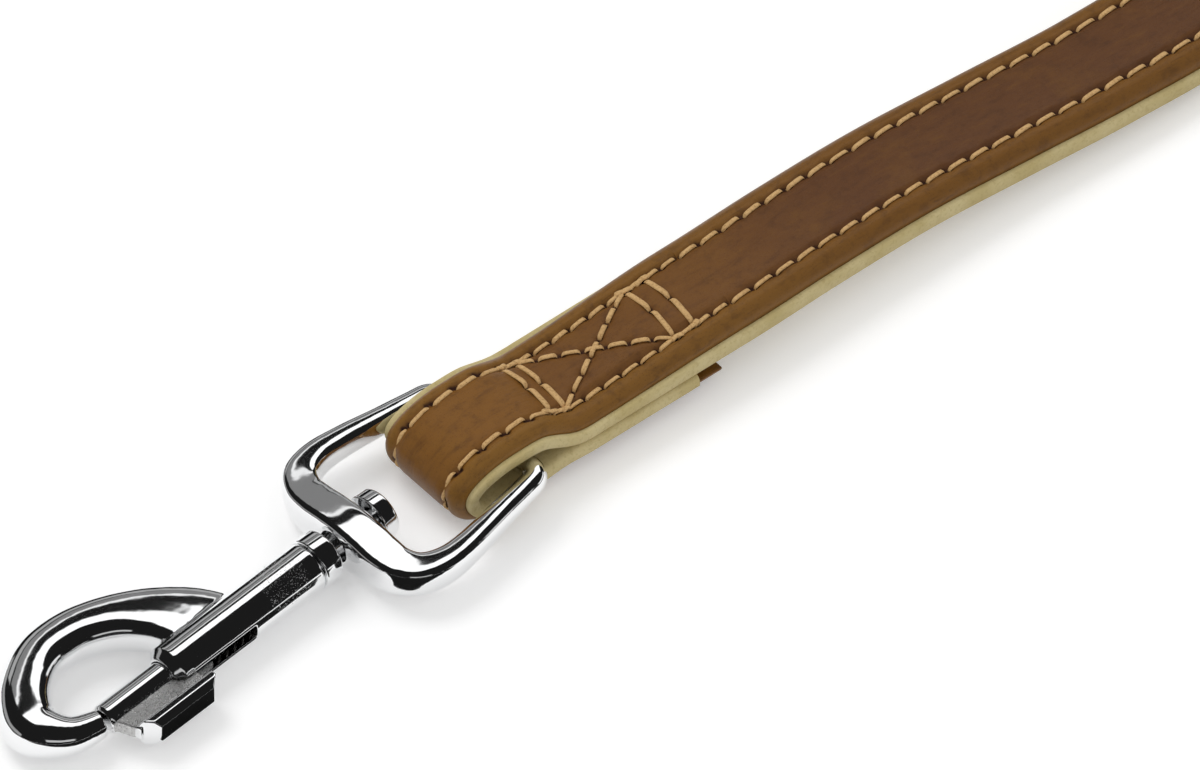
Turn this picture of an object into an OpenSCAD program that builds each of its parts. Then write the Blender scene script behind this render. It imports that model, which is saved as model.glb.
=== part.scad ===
// Training leash: a lined leather strap folded round the eye of a swivel bolt snap,
// its spare length rolled up and tied, with a sewn hand loop at the far end.
// X runs from the snap along the strap, Z is up, the surface it lies on is Z = 0
// and X = Y = 0 is the middle of the eye bar that the strap is folded round.

/* [Strap] */
// Width of the lining strip
lining_w = 20; // [16:0.5:24]
// How much narrower the leather strip is on each side
leather_inset = 0.6; // [0.2:0.1:1.2]
// Thickness of the padded leather along the free strap
leather_t = 2.6; // [2:0.1:3.4]
// Thickness of the leather where it is skived for a fold
fold_leather_t = 1.8; // [1.2:0.1:2.4]
// Thickness of the lining along the free strap
lining_t = 2.9; // [2:0.1:3.2]
// Thickness of the lining where it is folded or sewn double
fold_lining_t = 2.2; // [1.4:0.1:2.6]
// Rise of the leather between its two stitch rows
crown = 0.3; // [0:0.05:0.5]
// Room between two sewn layers of lining
sewn_gap = 0.15; // [0.1:0.05:0.4]

/* [Front fold] */
// Reach of the fold in front of the eye bar
fold_reach = 11; // [9:0.5:16]
// Room between the eye bar and the lining
bar_gap = 0.3; // [0.2:0.05:1]
// How much narrower the loop round the bar is on each side
loop_narrow = 0.7; // [0:0.1:1.2]
// Length of the tail under the strap
tail_len = 36; // [28:1:60]
// Height of the tail over the surface
tail_lift = 1.2; // [0.5:0.1:2]
// How far the tail's leather runs past its lining
tail_lip = 3.4; // [1:0.2:6]

/* [Eye] */
// Diameter of the bar in the fold
bar_d = 3.5; // [3:0.1:4.5]
// Distance from the bar to the middle of the hub
eye_len = 26.6; // [25:0.5:34]
// Room between the eye's side and the edge of the strap's loop
eye_side_gap = 0.5; // [0.4:0.1:2]
// Turn of the eye to one side of the strap, in degrees
eye_yaw = 3; // [0:0.5:4]
// How far the eye's sides open out from the bar towards the hub
eye_bow = 2.2; // [0:0.2:3]
// Length of the hub along the swivel
hub_len = 6; // [5:0.5:8]
// Height of the hub
hub_h = 8; // [6.8:0.2:9]

/* [Swivel rivet] */
// Diameter of the shank that the hub turns on
shank_d = 4; // [3:0.2:4.4]
// Radial play of the hub on the shank
shank_play = 0.6; // [0.5:0.05:0.8]
// Diameter of the riveted head
head_d = 8; // [7.4:0.2:9]
// Thickness of the riveted head
head_t = 2.6; // [2:0.1:3.5]
// Room between the head and the hub
head_gap = 0.8; // [0.75:0.05:1.4]
// Diameter of the collar against the barrel
collar_d = 8.3; // [7.4:0.1:9]
// Length of the collar
collar_len = 3.3; // [2:0.1:4]
// Room between the collar and the hub
collar_gap = 2.1; // [0.8:0.1:3]

/* [Snap body] */
// Outer diameter of the barrel
barrel_d = 7.8; // [7.4:0.1:9]
// Length of the barrel
barrel_len = 29.3; // [28:0.5:38]
// Length of the plug that closes the barrel
plug_len = 2.8; // [2:0.1:4]
// Length of the slot for the thumb lug
slot_len = 15.4; // [15:0.2:17]
// Room on each side of the lug's neck in the slot
slot_gap = 0.25; // [0.1:0.05:0.5]
// Turn of the snap against the eye, in degrees
snap_yaw = 2.8; // [0:0.2:3]

/* [Bolt and spring] */
// Diameter of the bolt
bolt_d = 4.6; // [3.8:0.1:4.8]
// Running clearance of the bolt in its bore, on the radius
bolt_gap = 0.05; // [0.02:0.01:0.1]
// Reach of the bolt in front of the barrel when closed
bolt_reach = 12; // [11.5:0.1:12.1]
// Length of the bolt inside the barrel
bolt_tail = 8; // [6:0.5:9]
// Thickness of the neck between bolt and thumb pad
neck_t = 2.2; // [1.6:0.1:2.6]
// Height of the thumb pad
pad_h = 4.8; // [4:0.2:6.4]
// Diameter of the spring wire
wire_d = 0.5; // [0.4:0.05:0.6]
// Turns of the spring
spring_turns = 11; // [8:1:12]

/* [Coil] */
// Turns of each half of the strap in the roll
coil_turns = 1.75; // [0.75:1:2.75]
// Distance between neighbouring turns
coil_pitch = 7; // [6.6:0.1:9]
// Radius of the eye of the roll, where the strap bends back through it
coil_eye_r = 42; // [36:1:60]
// Thickness of the tie's band
tie_t = 0.6; // [0.4:0.1:1]
// Width of the tie's band
tie_w = 10; // [6:1:14]
// Least room between the tie and the strap
tie_gap = 0.9; // [0.8:0.1:1.5]

/* [Hand loop] */
// Length of the sewn double stretch
hand_sewn_len = 34; // [28:1:60]
// Half the width of the hand loop
hand_half_w = 32; // [26:1:45]
// Length over which the hand loop opens out
hand_open_len = 96; // [70:2:130]

/* [Hidden] */
$fn = 48;

half_w = lining_w / 2;
leather_half = half_w - leather_inset;

// Heights of the fold, from the surface up through the bar
low_z = fold_leather_t;
bar_z = low_z + fold_lining_t + bar_gap + bar_d / 2;
top_z = bar_z + bar_d / 2 + bar_gap + fold_lining_t;
tail_z = tail_lift + fold_leather_t;
main_z = tail_z + 2 * fold_lining_t + sewn_gap;
free_z = tail_z + fold_lining_t + sewn_gap + lining_t;
seam_x = tail_len + tail_lip + 1;
sewn_x = 11;

// Distances along the snap's axis, from the mouth of the barrel
collar_end = barrel_len + collar_len;
hub_s = collar_end + collar_gap + hub_len / 2;
head_s = hub_s + hub_len / 2 + head_gap;
bore_r = bolt_d / 2 + bolt_gap;
bend_s = 20.6;
bend_h = 7.4;
hub_z = max(hub_h, barrel_d, collar_d, head_d) / 2 + 0.2;
eye_pitch = asin((bar_z - hub_z) / eye_len);
snap_pitch = asin((hub_z - bend_h / 2 - 0.05) / (hub_s + bend_s));

// The free strap: X, Y, height of the seam between the layers, and twist in degrees
free_route = [[seam_x, 0, free_z, 0], [70, 0.4, 7.4, 0], [95, 1.2, 6.2, 0], [118, 2.2, 5.4, 0],
    [134, 2.8, 5.4, 4], [148, 3, 6.6, 18], [162, 3, 9.2, 40], [176, 3, 10.7, 66],
    [188, 3, 10.9, 85], [196, 3, half_w + tie_t + 0.1, 90]];
coil_x = 216;
coil_z = half_w + tie_t + 0.1;
coil_start = [196, 3, coil_z];
coil_lead = coil_x - coil_start[0];
coil_out_r = coil_eye_r + 2 * coil_pitch * coil_turns;
coil_y = coil_start[1] + coil_out_r;
loop_rings = 24;
hand_x = coil_x + coil_lead;
hand_open_x = hand_x + 4 + hand_sewn_len;
hand_mid_y = coil_y + coil_out_r + fold_lining_t + sewn_gap / 2;

// ---- small helpers ----
function unit(v) = v / norm(v);
function ease(u) = (1 - cos(180 * min(max(u, 0), 1))) / 2;
function mix(a, b, u) = a + (b - a) * u;
function span(a, b, n) = [for (i = [0:n]) mix(a, b, i / n)];

function curve_at(a, b, c, d, t) =
    (2 * b + (c - a) * t + (2 * a - 5 * b + 4 * c - d) * t * t + (3 * b - a - 3 * c + d) * t * t * t) / 2;
// A smooth curve through the rows of a list, with n steps between two rows
function smooth(rows, n) = [
    for (i = [0:len(rows) - 2]) for (k = [0:n - 1])
        curve_at(rows[max(i - 1, 0)], rows[i], rows[i + 1], rows[min(i + 2, len(rows) - 1)], k / n),
    rows[len(rows) - 1]];

function headings(path) = [
    for (i = [0:len(path) - 1]) unit(path[min(i + 1, len(path) - 1)] - path[max(i - 1, 0)])];
// The strap's stretches meet square to X
function level_end(heads) = [for (i = [0:len(heads) - 1]) i == len(heads) - 1 ? [1, 0, 0] : heads[i]];
function path_length(path) = len(path) < 2 ? 0 :
    [for (i = [1:len(path) - 1]) norm(path[i] - path[i - 1])] * [for (i = [1:len(path) - 1]) 1];

// One ring of a tube: the section's points are [sideways, outward] from the path
function ring(centre, heading, out, section) = let (
    n = unit(out - heading * (out * heading)), side = cross(n, heading))
    [for (q = section) centre + q[0] * side + q[1] * n];

// Closed tube through rings of equal count, in triangles; flip turns the diagonals
module tube(rings, flip = false) {
    m = len(rings[0]);
    last = (len(rings) - 1) * m;
    walls = [for (i = [0:len(rings) - 2]) for (j = [0:m - 1])
        let (a = i * m + j, b = i * m + (j + 1) % m, c = a + m, d = b + m)
        each (flip ? [[a, c, b], [c, d, b]] : [[a, c, d], [a, d, b]])];
    caps = [for (j = [1:m - 2]) each [[0, j, j + 1], [last, last + j + 1, last + j]]];
    polyhedron(points = [for (r = rings) each r], faces = concat(walls, caps));
}

// ---- the strap's two strips ----
// Sections stand on the seam between the layers: u runs from folded (0) to free (1),
// and n is how much narrower each side is
function leather_section(u, n) = let (t = mix(fold_leather_t, leather_t, u), h = leather_half - n)
    [[-h, 0], [h, 0], [h, 0.45 * t], [h - 0.35 * t, 0.85 * t], [h - 1.1 * t, t],
     [0, t + crown * u], [1.1 * t - h, t], [0.35 * t - h, 0.85 * t], [-h, 0.45 * t]];
function lining_section(u, n) = let (t = mix(fold_lining_t, lining_t, u), h = half_w - n, k = leather_half - n)
    [[-h, -0.6 * t], [0.35 * t - h, -t], [h - 0.35 * t, -t], [h, -0.6 * t],
     [h, -0.3 * t], [k, 0], [-k, 0], [-h, -0.3 * t]];

module leather_strip(path, heads, outs, frees, narrows = []) {
    tube([for (i = [0:len(path) - 1])
        ring(path[i], heads[i], outs[i], leather_section(frees[i], len(narrows) > i ? narrows[i] : 0))]);
}
module lining_strip(path, heads, outs, frees, narrows = []) {
    tube([for (i = [0:len(path) - 1])
        ring(path[i], heads[i], outs[i], lining_section(frees[i], len(narrows) > i ? narrows[i] : 0))], true);
}

// ---- front fold: tail, turn round the bar, sewn stretch ----
mid_z = (low_z + top_z) / 2;
turn_r = (top_z - low_z) / 2;
arch_x = fold_reach - 1.5;
function fold_path(tail_end) = concat(
    [for (x = [tail_end, (tail_end + sewn_x) / 2]) [x, 0, tail_z]],
    [for (x = span(sewn_x - 2, 2, 5)) [x, 0, mix(low_z, tail_z, ease((x - 2) / (sewn_x - 4)))]],
    [for (x = [1, -2, -5]) [x, 0, low_z]],
    [for (a = span(0, 90, 7)) [turn_r - fold_reach - turn_r * sin(a), 0, mid_z - turn_r * cos(a)]],
    [for (a = span(10, 90, 8)) [-1.5 - arch_x * cos(a), 0, mid_z + turn_r * sin(a)]],
    [for (x = span(1.5, sewn_x, 6)) [x, 0, mix(top_z, main_z, ease((x - 1.5) / (sewn_x - 1.5)))]],
    [for (x = span(sewn_x + 8, tail_len - 2, 2)) [x, 0, main_z]],
    [for (x = span(tail_len - 1, seam_x, 4))
        [x, 0, mix(main_z, free_z, ease((x - tail_len + 1) / (seam_x - tail_len + 1)))]]);
// Outward is away from the lining: down on the tail, forward at the turn, up on the strap
function fold_outs(heads) = [for (h = heads) [-h[2], 0, h[0]]];
function fold_frees(path) = let (n = len(path))
    [for (i = [0:n - 1]) i < n - 5 ? 0 : ease((path[i][0] - tail_len + 1) / (seam_x - tail_len + 1))];

function fold_narrows(path) = [for (p = path) loop_narrow * (1 - ease((p[0] - 3) / (sewn_x - 3)))];

module front_leather() {
    path = fold_path(tail_len);
    heads = level_end(headings(path));
    color([0.47, 0.32, 0.16])
        leather_strip(path, heads, fold_outs(heads), fold_frees(path), fold_narrows(path));
}
module front_lining() {
    path = fold_path(tail_len - tail_lip);
    heads = level_end(headings(path));
    color([0.70, 0.63, 0.42])
        lining_strip(path, heads, fold_outs(heads), fold_frees(path), fold_narrows(path));
}

// ---- free strap: level off the sewn stretch, then a quarter twist onto its edge ----
free_rows = smooth(free_route, 3);
free_path = [for (r = free_rows) [r[0], r[1], r[2]]];
free_heads = [for (i = [0:len(free_path) - 1])
    (i == 0 || i == len(free_path) - 1) ? [1, 0, 0] : headings(free_path)[i]];
free_outs = [for (r = free_rows) [0, -sin(r[3]), cos(r[3])]];
free_ones = [for (r = free_rows) 1];

module strap_leather() {
    color([0.40, 0.25, 0.14]) leather_strip(free_path, free_heads, free_outs, free_ones);
}
module strap_lining() {
    color([0.70, 0.63, 0.42]) lining_strip(free_path, free_heads, free_outs, free_ones);
}

// ---- roll: both halves wound together on edge, joined by a bend back through the eye ----
function arm_point(a, turned) = let (r = coil_out_r - 2 * coil_pitch * a / 360)
    [coil_x + r * cos(a - 90 + turned), coil_y + r * sin(a - 90 + turned), coil_z];
arm_end = 360 * coil_turns;
arm_steps = round(loop_rings * coil_turns);
eye_turn = arm_end - 90;
function eye_point(k, a) = let (c = k * coil_eye_r / 2)
    [coil_x + c * cos(eye_turn) + coil_eye_r / 2 * cos(a),
     coil_y + c * sin(eye_turn) + coil_eye_r / 2 * sin(a), coil_z];
coil_path = concat(
    [coil_start],
    [for (i = [0:arm_steps]) arm_point(arm_end * i / arm_steps, 0)],
    [for (i = [1:12]) eye_point(1, eye_turn + 15 * i)],
    [for (i = [1:11]) eye_point(-1, eye_turn - 15 * i)],
    [for (i = [arm_steps:-1:0]) arm_point(arm_end * i / arm_steps, 180)],
    [[hand_x, coil_y + coil_out_r, coil_z]]);
coil_heads = [for (i = [0:len(coil_path) - 1])
    (i == 0 || i == len(coil_path) - 1) ? [1, 0, 0] : headings(coil_path)[i]];
coil_outs = [for (h = coil_heads) [h[1], -h[0], 0]];
coil_ones = [for (p = coil_path) 1];

// Least distance between stretches of the coil that aren't neighbours, less the strap's thickness
coil_gap = min([for (i = [0:len(coil_path) - 1]) for (j = [i + 8:1:len(coil_path) - 1])
    norm(coil_path[i] - coil_path[j])]) - 2 * max(leather_t + crown, lining_t);

module coil_leather() {
    color([0.40, 0.25, 0.14]) leather_strip(coil_path, coil_heads, coil_outs, coil_ones);
}
module coil_lining() {
    color([0.70, 0.63, 0.42]) lining_strip(coil_path, coil_heads, coil_outs, coil_ones);
}

// ---- tie: a flat band round the turns on one side of the roll ----
tie_turn = 315;
tie_in_r = coil_out_r - 2 * coil_pitch * (floor(coil_turns - 0.5) + 0.625) + coil_pitch / 2;
tie_inner = coil_eye_r + coil_pitch * 0.25 - lining_t - tie_gap;
tie_outer = coil_out_r - coil_pitch * 0.25 + max(leather_t + crown, lining_t) + tie_gap / 3;
tie_top = coil_z + half_w + 0.3;
module tie_outline(grow) {
    hull() {
        for (r = [tie_inner, tie_outer]) for (z = [tie_t, tie_top])
            translate([r + (r == tie_inner ? 0.5 : -0.5), z + (z == tie_t ? 0.5 : -0.5)])
                circle(r = 0.5 + grow, $fn = 24);
    }
}
module coil_tie() {
    color([0.25, 0.17, 0.10])
    translate([coil_x, coil_y, 0]) rotate([0, 0, tie_turn]) translate([0, tie_w / 2, 0]) rotate([90, 0, 0])
        linear_extrude(tie_w) difference() {
            tie_outline(tie_t);
            tie_outline(0);
        }
}

// ---- hand loop: sewn double stretch and a teardrop loop, on its edge ----
hand_seam = fold_lining_t + sewn_gap / 2;
function hand_z(x) = half_w + (coil_z - half_w) * (1 - ease((x - hand_x) / 30));
function hand_side(x) = mix(hand_seam, hand_half_w, ease((x - hand_open_x) / hand_open_len));
function hand_point(x, k) = [x, hand_mid_y + k * hand_side(x), hand_z(x)];
hand_end_x = hand_open_x + hand_open_len;
// The strap comes in at its free thickness, so its seam lies further out there
function hand_start(x) = hand_point(x, -1);
function hand_path(tail_end) = concat(
    [for (x = span(hand_x, hand_x + 4, 2)) hand_start(x)],
    [for (x = span(hand_x + 16, hand_open_x - 2, 2)) hand_point(x, -1)],
    [for (x = span(hand_open_x, hand_end_x - 4, 10)) hand_point(x, -1)],
    [for (a = span(-90, 90, 18)) [hand_end_x + hand_half_w * cos(a), hand_mid_y + hand_half_w * sin(a), half_w]],
    [for (x = span(hand_end_x - 4, hand_open_x, 10)) hand_point(x, 1)],
    [for (x = span(hand_open_x - 2, tail_end, 3)) hand_point(x, 1)]);
function edge_outs(heads) = [for (h = heads) [h[1], -h[0], 0]];
function hand_heads(path) = [for (i = [0:len(path) - 1]) i == 0 ? [1, 0, 0] : headings(path)[i]];
function hand_frees(path) = [for (i = [0:len(path) - 1]) i > 3 ? 0 : 1 - ease((path[i][0] - hand_x) / 4)];

module hand_leather() {
    path = hand_path(hand_x + 5);
    heads = hand_heads(path);
    color([0.40, 0.25, 0.14]) leather_strip(path, heads, edge_outs(heads), hand_frees(path));
}
module hand_lining() {
    path = hand_path(hand_x + 5 + tail_lip);
    heads = hand_heads(path);
    color([0.70, 0.63, 0.42]) lining_strip(path, heads, edge_outs(heads), hand_frees(path));
}

// ---- metal: places ----
module eye_place() {
    translate([0, 0, bar_z]) rotate([0, -eye_pitch, eye_yaw]) children();
}
module snap_place() {
    reach = eye_len * cos(eye_pitch);
    translate([-reach * cos(eye_yaw), -reach * sin(eye_yaw), hub_z])
        rotate([0, -snap_pitch, eye_yaw + snap_yaw]) translate([-hub_s, 0, 0]) children();
}
// A round piece along the snap's axis, from a to b
module along(a, b, r1, r2) {
    translate([a, 0, 0]) rotate([0, 90, 0]) cylinder(h = b - a, r1 = r1, r2 = r2);
}
function oval(w, h, sides, square) = [for (i = [0:sides - 1]) let (a = 360 * i / sides, c = cos(a), s = sin(a))
    [w / 2 * sign(c) * pow(abs(c), square), h / 2 * sign(s) * pow(abs(s), square)]];
// A bar of changing oval section along rows of [x, y, width, height] in the XY plane
module oval_bar(rows, steps, sides, square) {
    fine = smooth(rows, steps);
    path = [for (r = fine) [r[0], r[1], 0]];
    heads = headings(path);
    tube([for (i = [0:len(path) - 1])
        ring(path[i], heads[i], [0, 0, 1], oval(fine[i][2], fine[i][3], sides, square))]);
}

// ---- swivel eye ----
bar_half = half_w - loop_narrow + eye_side_gap;
side_y = bar_half + 1.9;
// Rows along one half of the ring, from inside the bar to the middle of the hub
eye_rows = [[0, bar_half - 2.2, bar_d - 0.6, bar_d - 0.6], [0, bar_half - 0.6, bar_d + 0.2, bar_d + 0.2],
    [-0.4, bar_half + 0.7, bar_d + 0.2, bar_d + 0.2], [-1.4, bar_half + 1.5, bar_d + 0.2, bar_d + 0.2],
    [-3.5, side_y, 3.7, 3.7], [-9, side_y + 0.4 * eye_bow, 3.8, 4],
    [-0.59 * eye_len, side_y + 0.9 * eye_bow, 4.1, 4.5],
    [-0.77 * eye_len, side_y + eye_bow, 4.5, 5.2], [-0.91 * eye_len, side_y + eye_bow - 1.2, 5, 6],
    [0.5 - eye_len, side_y - 1.6, hub_len - 0.6, hub_h - 1.4], [-eye_len, 7, hub_len, hub_h - 0.5]];
ring_rows = concat(eye_rows, [[-eye_len, 0, hub_len, hub_h]],
    [for (i = [len(eye_rows) - 1:-1:0]) [eye_rows[i][0], -eye_rows[i][1], eye_rows[i][2], eye_rows[i][3]]]);
module swivel_eye() {
    color([0.80, 0.80, 0.82]) eye_place() difference() {
        union() {
            rotate([90, 0, 0]) cylinder(h = 2 * bar_half - 1, d = bar_d, center = true);
            oval_bar(ring_rows, 2, 14, 0.8);
        }
        translate([-eye_len - hub_len, 0, 0]) rotate([0, 90, 0])
            cylinder(h = 2 * hub_len, r = shank_d / 2 + shank_play);
    }
}

// ---- swivel rivet: plug in the barrel, collar, shank and riveted head ----
module swivel_rivet() {
    color([0.78, 0.78, 0.80]) snap_place() difference() {
        union() {
            along(barrel_len - plug_len, barrel_len, bore_r - 0.02, bore_r - 0.02);
            along(barrel_len, collar_end - 0.5, collar_d / 2, collar_d / 2);
            along(collar_end - 0.5, collar_end, collar_d / 2, collar_d / 2 - 0.5);
            along(collar_end, head_s + head_t / 2, shank_d / 2, shank_d / 2);
            along(head_s, head_s + head_t - 0.5, head_d / 2, head_d / 2);
            along(head_s + head_t - 0.5, head_s + head_t, head_d / 2, head_d / 2 - 0.5);
        }
        along(head_s + head_t - 0.7, head_s + head_t + 0.1, 0.9, 2.1);
    }
}

// ---- snap body: barrel and hook ----
// Rows along the hook: X, Y, width and height of its section
hook_rows = [[11.5, 0.5, 13, 5.2], [9.6, 4.6, 12, 6], [6.6, 8.8, 9.4, 6.6], [2.6, 12.4, 7.4, 6.8],
    [-2, 14.8, 6.6, 6.8], [-6, 15.7, 6.2, 6.8], [-10, 15.5, 6, 6.8], [-14, 14, 6.1, 7],
    [-18, 11, 6.5, 7.3], [-bend_s, 6.8, 6.6, bend_h], [-19.8, 3.4, 6, 6.6], [-17, 1, 4.9, 5.2],
    [-12.5 - (bolt_reach - 12), 0, 4.2, 4.2]];
module snap_body() {
    color([0.80, 0.80, 0.82]) snap_place() difference() {
        union() {
            along(0, 1.4, barrel_d / 2 - 1.1, barrel_d / 2);
            along(1.4, barrel_len - 0.4, barrel_d / 2, barrel_d / 2);
            along(barrel_len - 0.4, barrel_len, barrel_d / 2, barrel_d / 2 - 0.3);
            oval_bar(hook_rows, 3, 14, 0.85);
        }
        along(-1, barrel_len + 1, bore_r, bore_r);
        translate([-1, -barrel_d, -neck_t / 2 - slot_gap])
            cube([slot_len + 1, barrel_d, neck_t + 2 * slot_gap]);
    }
}

// ---- bolt with its neck and thumb pad ----
pad_x = -10;
pad_len = 14.2;
pad_in = barrel_d / 2 + 1.3;
pad_out = pad_in + 2.6;
pad_cut = 0.9;
module gate_bolt() {
    color([0.74, 0.74, 0.76]) snap_place() union() {
        along(-bolt_reach, 0.5 - bolt_reach, bolt_d / 2 - 0.4, bolt_d / 2);
        along(0.5 - bolt_reach, bolt_tail, bolt_d / 2, bolt_d / 2);
        translate([0, 0, -neck_t / 2]) linear_extrude(neck_t)
            polygon([[0.3 - bolt_reach, -1.2], [pad_x, -pad_in - 0.5], [pad_x + pad_len - 0.6, -pad_in - 0.5],
                [3, -1.2]]);
        intersection() {
            translate([0, 0, -pad_h / 2]) linear_extrude(pad_h)
                polygon([[pad_x, -pad_in], [pad_x + pad_len, -pad_in], [pad_x + pad_len, 1.2 - pad_out],
                    [pad_x + pad_len - 1.6, -pad_out], [pad_x + 2.2, -pad_out]]);
            translate([pad_x - 1, 0, 0]) rotate([90, 0, 90]) linear_extrude(pad_len + 2)
                polygon([[-pad_in, -pad_h / 2 + 0.5], [-pad_in, pad_h / 2 - 0.5], [-pad_in - 0.5, pad_h / 2],
                    [pad_cut - pad_out, pad_h / 2], [-pad_out, pad_h / 2 - pad_cut],
                    [-pad_out, pad_cut - pad_h / 2], [pad_cut - pad_out, -pad_h / 2],
                    [-pad_in - 0.5, -pad_h / 2]]);
        }
    }
}

// ---- spring behind the bolt ----
spring_a = bolt_tail + 0.1;
spring_b = barrel_len - plug_len - 0.1;
spring_r = bore_r - wire_d / 2 - 0.2;
spring_len = spring_b - spring_a - 2 * wire_d;
function spring_point(u) = [spring_a + wire_d + spring_len * u,
    spring_r * cos(360 * spring_turns * u), spring_r * sin(360 * spring_turns * u)];
spring_path = concat([[spring_a, spring_r, 0]], [for (i = [0:8 * spring_turns]) spring_point(i / (8 * spring_turns))],
    [[spring_b, spring_r, 0]]);
spring_pitch_gap = spring_len / spring_turns - wire_d;
module gate_spring() {
    heads = headings(spring_path);
    color([0.60, 0.60, 0.62]) snap_place()
        tube([for (i = [0:len(spring_path) - 1])
            ring(spring_path[i], heads[i], unit([0, spring_path[i][1], spring_path[i][2]]),
                [for (k = [0:5]) [wire_d / 2 * cos(60 * k), wire_d / 2 * sin(60 * k)]])]);
}

echo(roll_least_gap = coil_gap, spring_least_gap = spring_pitch_gap);
echo(free_length = path_length(free_path), roll_length = path_length(coil_path),
    hand_loop_strip = path_length(hand_path(hand_x + 5)), fold_strip = path_length(fold_path(tail_len)));

front_leather();
front_lining();
strap_leather();
strap_lining();
coil_leather();
coil_lining();
hand_leather();
hand_lining();
coil_tie();
swivel_eye();
swivel_rivet();
snap_body();
gate_bolt();
gate_spring();
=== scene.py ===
import math
import random
import bpy
import bmesh
import numpy as np
from mathutils import Vector, Matrix


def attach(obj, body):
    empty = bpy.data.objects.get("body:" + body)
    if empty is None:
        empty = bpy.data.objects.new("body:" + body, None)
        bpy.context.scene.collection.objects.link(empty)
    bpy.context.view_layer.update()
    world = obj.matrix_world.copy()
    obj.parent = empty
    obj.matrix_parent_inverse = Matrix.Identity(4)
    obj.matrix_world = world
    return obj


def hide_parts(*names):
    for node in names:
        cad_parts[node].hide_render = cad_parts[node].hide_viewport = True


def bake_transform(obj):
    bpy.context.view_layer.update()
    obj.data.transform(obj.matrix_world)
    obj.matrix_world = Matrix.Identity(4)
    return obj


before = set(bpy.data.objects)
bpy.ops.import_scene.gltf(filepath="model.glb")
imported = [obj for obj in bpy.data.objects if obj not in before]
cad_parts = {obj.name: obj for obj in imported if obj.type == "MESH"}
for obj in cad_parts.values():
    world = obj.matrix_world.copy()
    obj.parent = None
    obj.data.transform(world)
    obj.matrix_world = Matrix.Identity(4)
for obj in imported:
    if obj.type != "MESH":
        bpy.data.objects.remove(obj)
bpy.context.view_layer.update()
mm = 0.001
print("frame loaded:", len(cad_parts), "nodes")


# ---------- camera ----------
cameraSettings = {
    "azimuth": -40.0,  # degrees, as the photograph is taken
    "elevation": 46.7,
    "target": (22.24, 1.27, 0.0),  # mm, the point in the middle of the picture
    "widthShown": 171.4,  # mm across the picture at the target
    "lens": 1000.0,  # long, as the photograph shows hardly any perspective
    "sensor": 36.0,
    "clipEnd": 200.0,
}


def circle(a):
    # cosine and sine of an angle in degrees
    return math.cos(math.radians(a)), math.sin(math.radians(a))


def makeCamera(s):
    (ca, sa), (ce, se) = circle(s["azimuth"]), circle(s["elevation"])
    forward = Vector((-sa * ce, ca * ce, -se))
    data = bpy.data.cameras.new("pictureCamera")
    data.lens = s["lens"]
    data.sensor_width = s["sensor"]
    data.clip_end = s["clipEnd"]
    camera = bpy.data.objects.new("pictureCamera", data)
    camera.location = (Vector(s["target"]) - forward * s["widthShown"] * s["lens"] / s["sensor"]) * mm
    camera.rotation_euler = forward.to_track_quat("-Z", "Y").to_euler()
    bpy.context.scene.collection.objects.link(camera)
    bpy.context.scene.camera = camera


makeCamera(cameraSettings)


# ---------- strap: sizes and route, as in the part's source, in mm ----------
strap = {
    "liningHalf": 10.0,
    "leatherHalf": 9.4,
    "leatherT": 2.6,  # free strap
    "leatherFoldT": 1.8,  # skived for the folds
    "liningT": 2.9,
    "liningFoldT": 2.2,
    "crown": 0.3,
    "sewnGap": 0.15,
    "rowY": 5.8,  # distance of each edge row of stitches from the middle
    "stitchPitch": 4.2,
    "loopNarrow": 0.7,
    "foldReach": 11.0,
    "tailLen": 36.0,
    "tailLift": 1.2,
    "tailLip": 3.4,
    "barD": 3.5,
    "barGap": 0.3,
    "sewnX": 11.0,
    "tieT": 0.6,
    "coilTurns": 1.75,
    "coilPitch": 7.0,
    "coilEyeR": 42.0,
    "coilX": 216.0,
    "coilStartX": 196.0,
    "coilStartY": 3.0,
    "handSewnLen": 34.0,
    "handHalfW": 32.0,
    "handOpenLen": 96.0,
}
lowZ = strap["leatherFoldT"]
barZ = lowZ + strap["liningFoldT"] + strap["barGap"] + strap["barD"] / 2
topZ = barZ + strap["barD"] / 2 + strap["barGap"] + strap["liningFoldT"]
tailZ = strap["tailLift"] + strap["leatherFoldT"]
mainZ = tailZ + 2 * strap["liningFoldT"] + strap["sewnGap"]
freeZ = tailZ + strap["liningFoldT"] + strap["sewnGap"] + strap["liningT"]
seamX = strap["tailLen"] + strap["tailLip"] + 1


def ease(u):
    return (1 - math.cos(math.pi * min(max(u, 0.0), 1.0))) / 2


def mix(a, b, u):
    return a + (b - a) * u


def span(a, b, n):
    return [mix(a, b, i / n) for i in range(n + 1)]


def curveAt(a, b, c, d, t):
    return (2 * b + (c - a) * t + (2 * a - 5 * b + 4 * c - d) * t * t + (3 * b - a - 3 * c + d) * t ** 3) / 2


def smoothRows(rows, n):
    rows = [np.array(r, float) for r in rows]
    out = []
    for i in range(len(rows) - 1):
        for k in range(n):
            out.append(curveAt(rows[max(i - 1, 0)], rows[i], rows[i + 1], rows[min(i + 2, len(rows) - 1)], k / n))
    out.append(rows[-1])
    return out


def freeAt(x):
    # the skived layers thicken evenly from the box to the free strap
    return ease((x - strap["sewnX"]) / (seamX - strap["sewnX"]))


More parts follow.
